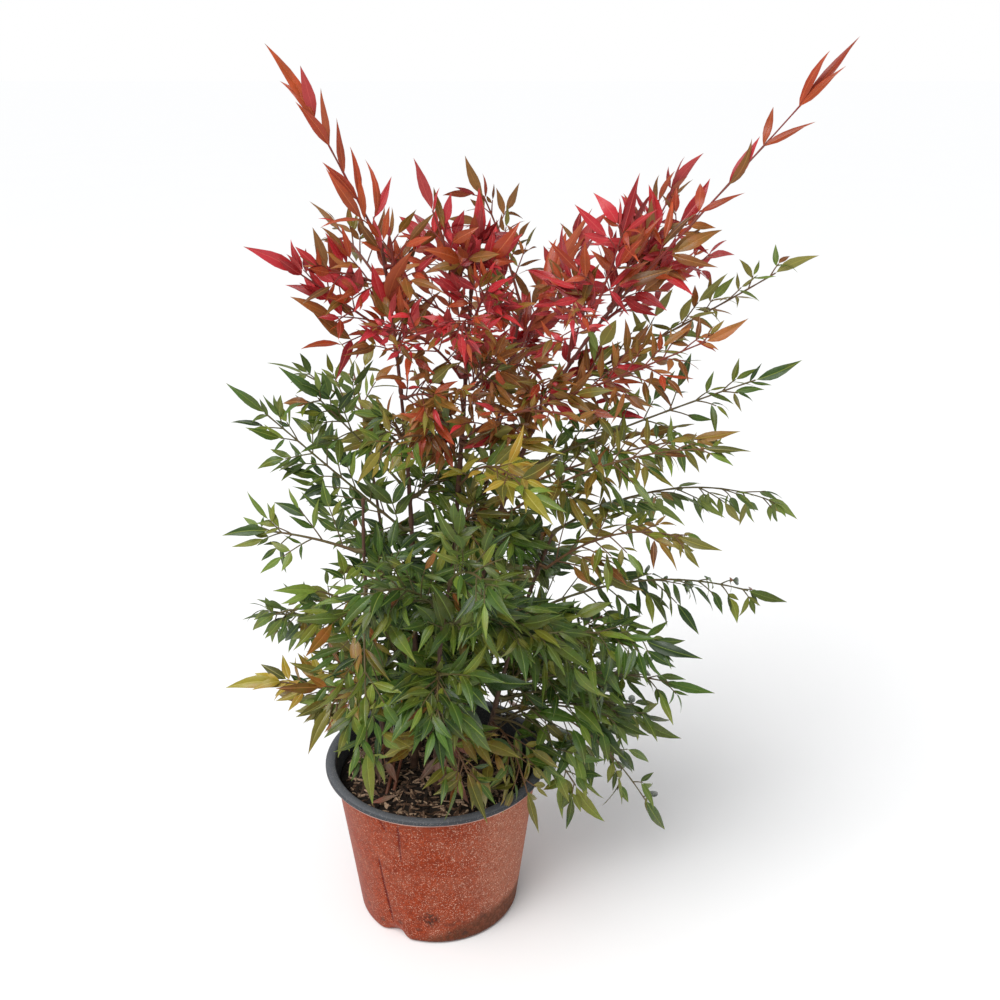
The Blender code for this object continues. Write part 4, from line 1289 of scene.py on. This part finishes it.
# The sky shows between these heights: left of one line, and between two lines right of the middle.
LEFT_OPEN = -0.018
LEFT_OPEN_HEIGHTS = (0.26, 0.49)
FORK_OPEN = (0.065, 0.150)
FORK_OPEN_HEIGHTS = (0.37, 0.47)


def inner_tint(tip, height, chance):
    height += chance.uniform(-TINT_STRAY, TINT_STRAY)
    if height < GREEN_BELOW:
        return "deep_green" if chance.random() < MOSTLY_DEEP else "fresh_green"
    if height < OLIVE_BELOW:
        return "olive" if chance.random() < 0.5 else "fresh_green"
    if height < BRONZE_BELOW:
        return "bronze"
    return "rust" if tip.x < RUST_UP_TO else "crimson"


def between(value, limits):
    return limits[0] < value < limits[1]


def in_open_air(tip, height):
    """True where the real crown shows the sky: in its left middle, and above the fork of the right cane."""
    if between(height, LEFT_OPEN_HEIGHTS) and tip.x < LEFT_OPEN:
        return True
    return between(tip.z, FORK_OPEN_HEIGHTS) and between(tip.x, FORK_OPEN)


def inner_sprays():
    """Short sprays up each cane, each turned by the golden angle from the one below."""
    chance, made = random.Random(INNER_SEED), []
    for number, cane in enumerate(CANES):
        height, turn = INNER_FROM + INNER_STAGGER * number, number * INNER_TURN
        while height < min(INNER_TO, cane.tip[2] - TOP_MARGIN):
            centre = place_on_cane(cane, height)[0]
            reach = chance.uniform(*INNER_REACH)
            out = Vector((math.cos(turn) * reach, math.sin(turn) * reach, chance.uniform(*INNER_RISE)))
            tip = centre + out
            tint = inner_tint(tip, height, chance)
            if not in_open_air(tip, height):
                made.append(Spray(f"inner_{len(made)}", cane.name, height, tuple(tip), *INNER_GROWTH, tint))
            opener = RED_OPENER if height > RED_FROM else 1
            height += INNER_SPACING * chance.uniform(*SPACING_VARIES) * opener
            turn += GOLDEN_TURN
    return made


# %% A few more sprays where the real crown is full
FILLING = sprays([
    ("rust_peak_left", "left", 0.562, (-0.024, 0.000, 0.620), 0.004, 2, 0.036, 0.4, "rust"),
    ("red_high_left", "left", 0.540, (0.000, 0.020, 0.590), 0.012, 3, 0.042, 0.2, "rust"),
    ("red_low_left", "left", 0.500, (-0.026, -0.034, 0.560), 0.012, 3, 0.036, 0.2, "rust"),
    ("red_middle", "centre", 0.520, (0.062, -0.040, 0.560), 0.020, 3, 0.044, 0.1, "crimson"),
    ("red_peak_right", "right", 0.538, (0.172, 0.010, 0.612), 0.004, 3, 0.040, 0.3, "crimson"),
    ("gold_level", "centre", 0.425, (0.104, -0.072, 0.448), 0.008, 2, 0.040, 0.2, "yellow"),
    ("bronze_middle", "centre", 0.470, (0.070, -0.060, 0.515), 0.012, 4, 0.042, 0.0, "bronze"),
    ("bronze_middle_right", "right", 0.455, (0.085, -0.070, 0.500), 0.012, 4, 0.044, 0.0, "bronze"),
    ("red_fill_right", "right", 0.530, (0.215, 0.030, 0.620), 0.006, 3, 0.044, 0.3, "crimson"),
    ("over_rim_right", "low_right", 0.185, (0.086, -0.078, 0.118), 0.045, 2, 0.042, 0.0, "olive"),
    ("olive_gap_left", "left", 0.435, (-0.038, -0.030, 0.473), 0.010, 3, 0.040, 0.0, "olive"),
    ("bronze_gap", "centre", 0.455, (0.024, -0.080, 0.490), 0.014, 3, 0.040, 0.0, "bronze"),
    ("low_side_left", "low_left", 0.285, (-0.160, 0.020, 0.256), 0.030, 3, 0.042, 0.0, "fresh_green"),
    ("low_back_left", "low_left", 0.205, (-0.105, 0.064, 0.232), 0.034, 4, 0.048, -0.1, "deep_green"),
    ("low_back_middle", "centre", 0.220, (0.010, 0.135, 0.232), 0.040, 4, 0.048, -0.1, "deep_green"),
    ("low_back_side", "left", 0.240, (-0.060, 0.110, 0.280), 0.036, 4, 0.048, -0.1, "fresh_green"),
    ("olive_side_right", "right", 0.392, (0.232, -0.040, 0.448), 0.016, 4, 0.044, 0.0, "olive"),
    ("low_side_right", "low_right", 0.210, (0.205, -0.030, 0.170), 0.050, 4, 0.046, -0.1, "deep_green"),
    ("low_front_right", "low_right", 0.198, (0.176, -0.050, 0.190), 0.040, 3, 0.048, -0.1, "deep_green"),
    ("low_back_right", "low_right", 0.184, (0.172, 0.030, 0.138), 0.050, 3, 0.044, -0.1, "fresh_green"),
    ("dry_front", "front", 0.190, (0.027, -0.068, 0.138), 0.012, 2, 0.030, 0.0, "dry"),
    ("dry_left", "low_left", 0.165, (-0.062, -0.056, 0.140), 0.010, 2, 0.028, 0.0, "dry"),
    ("trio_right", "low_right", 0.190, (0.141, -0.030, 0.087), 0.050, 2, 0.044, 0.0, "fresh_green"),
])

# %% Grow the whole plant
plant = Plant()
inner = inner_sprays() + FILLING
for number, spray in enumerate(SPRAYS + inner):
    grow(plant, number, spray)
print(len(SPRAYS), "sprays and", len(inner), "short ones")
print(len(plant.leaves), "leaflets,", len(plant.twigs), "twigs")

# %% Stand two dead stubs in the soil and let a few dry leaflets lie on it
STUBS = [((-0.041, -0.038), (-0.034, -0.010, 0.150)), ((-0.035, -0.034), (-0.029, -0.010, 0.148))]
STUB_RADIUS = 0.0017
STUB_TAPER = 0.0001
STUB_STEPS = 5
STUB_RUDDY = 0.6
STUB_BURIED = 0.002
# Where a fallen leaflet lies, and which way its tip points, in degrees.
FALLEN = [
    (-0.077, 0.017, 40), (0.055, -0.033, 150), (-0.012, -0.068, 200),
    (0.020, 0.062, 300), (-0.052, -0.050, 20),
]
FALLEN_LENGTH = 0.024
FALLEN_TILT = 0.05
FALLEN_LIFT = 0.0025

for (x, y), top in STUBS:
    foot = Vector((x, y, soil_height(x, y) - STUB_BURIED))
    points = [foot.lerp(Vector(top), k / STUB_STEPS) for k in range(STUB_STEPS + 1)]
    radii = [STUB_RADIUS - STUB_TAPER * k for k in range(STUB_STEPS + 1)]
    plant.twigs.append(Twig(points, radii, STUB_RUDDY))
for number, (x, y, turn) in enumerate(FALLEN):
    along = Vector((math.cos(math.radians(turn)), math.sin(math.radians(turn)), FALLEN_TILT)).normalized()
    face = (Vector((0, 0, 1)) - along * along.z).normalized()
    root = Vector((x, y, soil_height(x, y) + FALLEN_LIFT))
    plant.leaves.append(Leaf(root, along, face, FALLEN_LENGTH, 1.0, number, 0.2 * number, "dry"))
print(len(STUBS), "stubs and", len(FALLEN), "fallen leaflets")

# %% [markdown]
# ## One leaflet, six ways
# A leaflet is a long narrow blade, folded a little along its midrib, with a drawn-out tip. A plane with a
# picture would look flat from the side, so each is a thin closed body in the leaflet's own outline. Six
# variants differ in fold, droop, sweep and twist, which is enough to hide the repeat. Its map runs from 0
# to 1 across the upper side and from 1 to 2 across the underside, so that one finish can tell the two.

# %% The blade's outline and its six ways
# Places along the blade from its root at 0 to its tip at 1, and how much of its full width it has there.
STATIONS = [(0.04, 0.07), (0.13, 0.46), (0.27, 0.88), (0.42, 1.0), (0.60, 0.80), (0.79, 0.42), (0.92, 0.15)]
LEAF_WIDTH = 0.252
LEAF_THICKNESS = 0.011
TIP_THINNER = 0.6
CROWNED = 0.9
RIPPLES = 15
Blade = namedtuple("Blade", "arch droop fold sweep twist ripple")
BLADES = [
    Blade(0.05, 0.05, 0.30, 0.05, 0.00, 0.004),
    Blade(0.04, 0.26, 0.45, 0.02, 0.15, 0.006),
    Blade(0.06, 0.02, 0.22, 0.15, -0.25, 0.008),
    Blade(0.02, 0.14, 0.55, -0.16, 0.45, 0.005),
    Blade(0.02, -0.10, 0.40, 0.07, -0.50, 0.007),
    Blade(0.08, 0.42, 0.35, -0.08, 0.30, 0.006),
]


def blade_point(blade, along, across):
    """A point of the blade: along from 0 to 1, across in units of length from the midrib."""
    lift = blade.arch * 4 * along * (1 - along) - blade.droop * along**2
    rise = blade.fold * abs(across) - CROWNED * across * across / LEAF_WIDTH
    wave = math.sin(RIPPLES * along + (2 if across > 0 else 0))
    rise += blade.ripple * wave * min(1, abs(across) * 10)
    turn = blade.twist * (along - 0.1)
    x = across * math.cos(turn) - rise * math.sin(turn) + blade.sweep * (along**2 - 0.3 * along)
    height = lift + across * math.sin(turn) + rise * math.cos(turn)
    return Vector((x, along * (1 - 0.3 * abs(blade.droop)), height))


# %% Model the six blades
# Each station has five points across the top, and one under the midrib.
ACROSS = (-1, -0.5, 0, 0.5, 1)
ROW = len(ACROSS) + 1


def blade_faces():
    """The faces of the upper side and those of the underside."""
    top, under = [], []
    for k in range(len(STATIONS) - 1):
        a = 1 + ROW * k
        b = a + ROW
        top += [(a + i, a + i + 1, b + i + 1, b + i) for i in range(4)]
        under += [(a, b, b + 5, a + 5), (a + 5, b + 5, b + 4, a + 4)]
    a = 1 + ROW * (len(STATIONS) - 1)
    last = a + ROW
    top += [(0, 2 + i, 1 + i) for i in range(4)]
    under += [(0, 1, 6), (0, 6, 5)]
    top += [(last, a + i, a + i + 1) for i in range(4)]
    under += [(last, a + 5, a), (last, a + 4, a + 5)]
    return top, under


def sharpen_folds(mesh):
    """Marks the midrib and both edges as sharp, so that the light breaks there."""
    edge_of = {tuple(sorted(edge.vertices)): edge for edge in mesh.edges}
    for first in (3, 1, 5):
        row = [0, *(first + ROW * k for k in range(len(STATIONS))), len(mesh.vertices) - 1]
        for pair in zip(row, row[1:]):
            edge_of[tuple(sorted(pair))].use_edge_sharp = True


def blade_mesh(number, blade):
    """A closed body: five points across on top, and a midrib under them."""
    points, uvs = [blade_point(blade, 0, 0)], [(0.5, 0.0)]
    for along, wide in STATIONS:
        half = LEAF_WIDTH / 2 * wide
        for share in ACROSS:
            points.append(blade_point(blade, along, half * share))
            uvs.append((0.5 + share * wide / 2, along))
        below = Vector((0, 0, LEAF_THICKNESS * (1 - TIP_THINNER * along)))
        points.append(blade_point(blade, along, 0) - below)
        uvs.append((0.5, along))
    points.append(blade_point(blade, 1, 0))
    uvs.append((0.5, 1.0))
    top, under = blade_faces()
    mesh = new_mesh(f"blade_{number}", points, top + under)
    sharpen_folds(mesh)
    layer = mesh.uv_layers.new(name="blade")
    for face in mesh.polygons:
        shift = 0 if face.index < len(top) else 1
        for corner in face.loop_indices:
            u, v = uvs[mesh.loops[corner].vertex_index]
            layer.data[corner].uv = (u + shift, v)
    return mesh


# %% [markdown]
# ## Laying the leaflets with Geometry Nodes
# On the plant every leaflet sits on the end or the side of a twig. Copying five thousand objects would be
# slow, so each leaflet is one point that carries its turn, its size and the number of its blade, and a node
# tree lays the blade there.

# %% Lay the leaflets on their twigs with a node tree
def leaf_tree():
    tree = Growth("leaflets_on_twigs")
    shapes = tree.input("Shapes", "Collection")
    larger = tree.input("Larger", "Float")
    finish = tree.input("Finish", "Material")
    size = tree.scaled(tree.stored("size", "FLOAT_VECTOR"), larger)
    turn = tree.stored("turn", "QUATERNION")
    chosen = {"Instance Index": tree.stored("shape", "INT")}
    tree.end_in(tree.lay(tree.start(), shapes, Rotation=turn, Scale=size, **chosen), finish)
    return tree


def leaf_points(leaves):
    """A net of points, one to a leaflet, that carries its turn, size, shape and shade."""
    mesh = new_mesh("leaf_points", [leaf.root for leaf in leaves], [], smooth=False)
    turns, sizes = [], []
    for leaf in leaves:
        side = leaf.along.cross(leaf.face).normalized()
        up = side.cross(leaf.along)
        turns += list(Matrix((side, leaf.along, up)).transposed().to_quaternion())
        sizes += [leaf.length * leaf.wide, leaf.length, leaf.length]
    store(mesh, "turn", turns, "QUATERNION")
    store(mesh, "size", sizes, "FLOAT_VECTOR", "vector")
    store(mesh, "shape", [leaf.shape for leaf in leaves], "INT")
    store(mesh, "shade", [leaf.shade for leaf in leaves])
    return mesh


# %% [markdown]
# ## The leaflets' finishes
# Up close a leaflet is satin above and dull below, with a paler midrib, faint side veins and a dry tip. Two
# base colours to a tint, mixed by a number that each leaflet draws, give the spread of hues in one spray,
# and a second noise puts blushes on the blade, as where autumn colour starts.

# %% The colours of eight tints
Tint = namedtuple("Tint", "first second blush rib under")
TINT_COLOURS = {
    "deep_green": Tint(
        first=(0.009, 0.030, 0.004), second=(0.082, 0.168, 0.020), blush=(0.085, 0.085, 0.006),
        rib=(0.190, 0.260, 0.045), under=(0.105, 0.155, 0.036),
    ),
    "fresh_green": Tint(
        first=(0.024, 0.066, 0.006), second=(0.190, 0.285, 0.034), blush=(0.200, 0.165, 0.012),
        rib=(0.310, 0.360, 0.065), under=(0.185, 0.230, 0.055),
    ),
    "olive": Tint(
        first=(0.070, 0.076, 0.009), second=(0.285, 0.240, 0.036), blush=(0.290, 0.090, 0.012),
        rib=(0.390, 0.340, 0.070), under=(0.250, 0.235, 0.060),
    ),
    "gold": Tint(
        first=(0.250, 0.232, 0.020), second=(0.500, 0.380, 0.034), blush=(0.400, 0.160, 0.018),
        rib=(0.560, 0.500, 0.140), under=(0.360, 0.340, 0.080),
    ),
    "bronze": Tint(
        first=(0.120, 0.038, 0.009), second=(0.440, 0.140, 0.032), blush=(0.160, 0.118, 0.010),
        rib=(0.460, 0.200, 0.055), under=(0.310, 0.150, 0.048),
    ),
    "flame": Tint(
        first=(0.280, 0.020, 0.009), second=(0.620, 0.092, 0.026), blush=(0.250, 0.050, 0.010),
        rib=(0.580, 0.150, 0.050), under=(0.430, 0.100, 0.040),
    ),
    "crimson": Tint(
        first=(0.210, 0.008, 0.012), second=(0.660, 0.024, 0.030), blush=(0.600, 0.035, 0.055),
        rib=(0.640, 0.100, 0.085), under=(0.460, 0.065, 0.060),
    ),
    "dry": Tint(
        first=(0.085, 0.042, 0.026), second=(0.300, 0.185, 0.125), blush=(0.330, 0.070, 0.050),
        rib=(0.330, 0.230, 0.160), under=(0.220, 0.150, 0.100),
    ),
}
SHADED = (0.010, 0.014, 0.006)
DRY_TIP = (0.240, 0.130, 0.070)


# %% Mix a leaflet's finish
def leaf_finish(name):
    tint = TINT_COLOURS[name]
    leaf = Finish("leaflet_" + name, 0.33, 0.34)
    across, along, _ = leaf.parts(leaf.node("ShaderNodeUVMap", uv_map="blade").outputs[0])
    below = leaf.step(across, 0.995, 1.005)
    centred = abs(leaf.math("FRACT", across) - 0.5)
    shade = leaf.attribute("shade")
    body = leaf.mix(shade, tint.first, tint.second)
    blushed = leaf.step(leaf.noise(30, 3) + shade * 0.12, 0.50, 0.72)
    body = leaf.mix(blushed * 0.65, body, tint.blush)
    body = leaf.mix(leaf.noise(420, 4) * 0.30, body, SHADED)
    wave = leaf.math("FRACT", along * 15 - centred * 11)
    veins = leaf.step(abs(wave - 0.5), 0.0, 0.16, 1, 0)
    body = leaf.mix(veins * 0.16, body, tint.rib)
    body = leaf.mix(below * 0.70, body, tint.under)
    rib = leaf.step(centred, 0.012, 0.050, 1, 0)
    body = leaf.mix(rib * 0.60, body, tint.rib)
    tip = leaf.step(along, 0.93, 0.99) * leaf.step(shade, 0.35, 0.60)
    leaf.colour(leaf.mix(tip * 0.8, body, DRY_TIP))
    leaf.roughness(leaf.step(leaf.noise(160, 3), 0.3, 0.7, 0.20, 0.40) + below * 0.28)
    leaf.bump(leaf.noise(900, 3) * 0.3 - (veins + rib), 0.22, 0.0004)
    return leaf


# %% Lay the leaflets, one piece to a tint
blade_store = shape_store("blade", [blade_mesh(k, blade) for k, blade in enumerate(BLADES)])
laying = leaf_tree()
leaf_pieces = {}
for tint in TINT_COLOURS:
    leaves = [leaf for leaf in plant.leaves if leaf.tint == tint]
    name, finish = "leaflets_" + tint, leaf_finish(tint)
    given = {"Shapes": blade_store, "Larger": 1.0, "Finish": finish.material}
    mesh = laying.run(name, leaf_points(leaves), **given)
    for used in ("turn", "size", "shape"):
        if used in mesh.attributes:
            mesh.attributes.remove(mesh.attributes[used])
    leaf_pieces[tint] = add_piece(name, mesh, finish)
    print(tint, len(leaves), "leaflets,", len(mesh.polygons), "faces")
empty_store(blade_store)

# %% [markdown]
# ## Stalks, twigs and canes with one tree
# Stalks, twigs and canes are all tubes whose girth changes along a line. The node tree turns a chain of
# points into a curve, gives it a round profile scaled by the girth stored at each point, and pushes the
# skin in and out with stretched noise, which is the bark's relief on the canes and next to nothing on a
# twig.

# %% Tubes that follow a line
FISSURE_STRETCH = (1, 1, 0.12)
FISSURE_SCALE = 520
FISSURE_DETAIL = 4


def tube_tree():
    tree = Growth("tubes_along_lines")
    sides = tree.input("Sides", "Int")
    relief = tree.input("Relief", "Float")
    finish = tree.input("Finish", "Material")
    chain = tree.node("GeometryNodeMeshToCurve", {0: tree.start()}).outputs[0]
    ring = tree.node("GeometryNodeCurvePrimitiveCircle", {"Radius": 1, "Resolution": sides}).outputs[0]
    given = {"Curve": chain, "Profile Curve": ring, "Scale": tree.stored("girth"), "Fill Caps": True}
    skin = tree.node("GeometryNodeCurveToMesh", given).outputs[0]
    given = {0: tree.node("GeometryNodeInputPosition").outputs[0], 1: FISSURE_STRETCH}
    place = tree.node("ShaderNodeVectorMath", given, operation="MULTIPLY").outputs[0]
    given = {"Vector": place, "Scale": FISSURE_SCALE, "Detail": FISSURE_DETAIL}
    fissures = tree.node("ShaderNodeTexNoise", given).outputs["Fac"]
    centred = tree.node("ShaderNodeMath", {0: fissures, 1: 0.5}, operation="SUBTRACT").outputs[0]
    depth = tree.node("ShaderNodeMath", {0: centred, 1: relief}, operation="MULTIPLY").outputs[0]
    push = tree.scaled(tree.node("GeometryNodeInputNormal").outputs[0], depth)
    moved = tree.node("GeometryNodeSetPosition", {"Geometry": skin, "Offset": push}).outputs[0]
    tree.end_in(moved, finish)
    return tree


def chain_mesh(chains):
    """Chains of points joined by edges, from (points, girths, ruddy) each."""
    points, edges, girths, ruddy = [], [], [], []
    for line, radii, red in chains:
        start = len(points)
        points += line
        girths += radii
        ruddy += [red] * len(line)
        edges += [(start + k, start + k + 1) for k in range(len(line) - 1)]
    mesh = new_mesh("chains", points, [], edges, smooth=False)
    store(mesh, "girth", girths)
    store(mesh, "ruddy", ruddy)
    return mesh


# %% Finish the stalks and the bark
def stalk_finish():
    stalk = Finish("thin_stalks", 0.5)
    base = stalk.mix(stalk.attribute("ruddy"), (0.100, 0.105, 0.030), (0.260, 0.026, 0.022))
    base = stalk.mix(stalk.step(stalk.noise(70, 4), 0.42, 0.66, 0, 0.5), base, (0.140, 0.062, 0.034))
    stalk.colour(stalk.mix(stalk.noise(800, 3) * 0.3, base, (0.05, 0.03, 0.02)))
    stalk.bump(stalk.noise(700, 3, stretch=(1, 1, 0.2)), 0.3, 0.0003)
    return stalk


def bark_finish():
    bark = Finish("cane_bark", 0.72)
    streaks = bark.noise(120, 5, stretch=(1, 1, 0.25))
    cracks = bark.step(bark.noise(600, 5, stretch=(1, 1, 0.1)), 0.52, 0.66, 0, 0.8)
    young = bark.step(bark.parts(bark.place)[2], 0.30, 0.52, 0, 0.8)
    base = bark.mix(streaks, (0.050, 0.022, 0.014), (0.150, 0.085, 0.052))
    base = bark.mix(cracks, base, (0.030, 0.014, 0.010))
    bark.colour(bark.mix(young, base, (0.130, 0.030, 0.022)))
    bark.bump(bark.noise(900, 5, stretch=(1, 1, 0.15)), 0.6, 0.0006)
    return bark


# %% Draw out the canes and the stalks
CANE_SEED = 60
CANE_SIDES = 14
CANE_RUDDY = 0.5
STALK_SIDES = 6
BARK_RELIEF = 0.0009

tubes = tube_tree()


def add_tubes(name, chains, sides, relief, finish):
    given = {"Sides": sides, "Relief": relief, "Finish": finish.material}
    return add_piece(name, tubes.run(name, chain_mesh(chains), **given), finish)


cane_chains = []
for number, cane in enumerate(CANES):
    reach = (Vector(cane.tip) - Vector((*cane.foot, SOIL_TOP))).length
    points = cane_points(cane, round(reach / CANE_STEP))
    girths = cane_girths(cane, points, random.Random(CANE_SEED + number))
    cane_chains.append((points, girths, CANE_RUDDY))
canes = add_tubes("canes", cane_chains, CANE_SIDES, BARK_RELIEF, bark_finish())
stalks = add_tubes("stalks", plant.twigs, STALK_SIDES, 0.0, stalk_finish())
print("canes:", len(canes.data.polygons), "faces; stalks:", len(stalks.data.polygons), "faces")

# %% [markdown]
# ## What each piece stands for
# A piece that replaces a CAD node hides it, and the node stays for collision. A row without joints has one
# body, `root`, and every piece rides on it. The leaflets of one tint stand for the sprays of that tint.

# %% Tie the pieces to the frame
for piece in (pot, soil, chips, canes, stalks, *leaf_pieces.values()):
    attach(piece, "root")
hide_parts("pot")
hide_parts("potting_soil")
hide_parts(*[cane.name for cane in CANES])
for tint, piece in leaf_pieces.items():
    if tint == "dry":
        continue
    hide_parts(*[spray.name for spray in SPRAYS if spray.tint == tint])
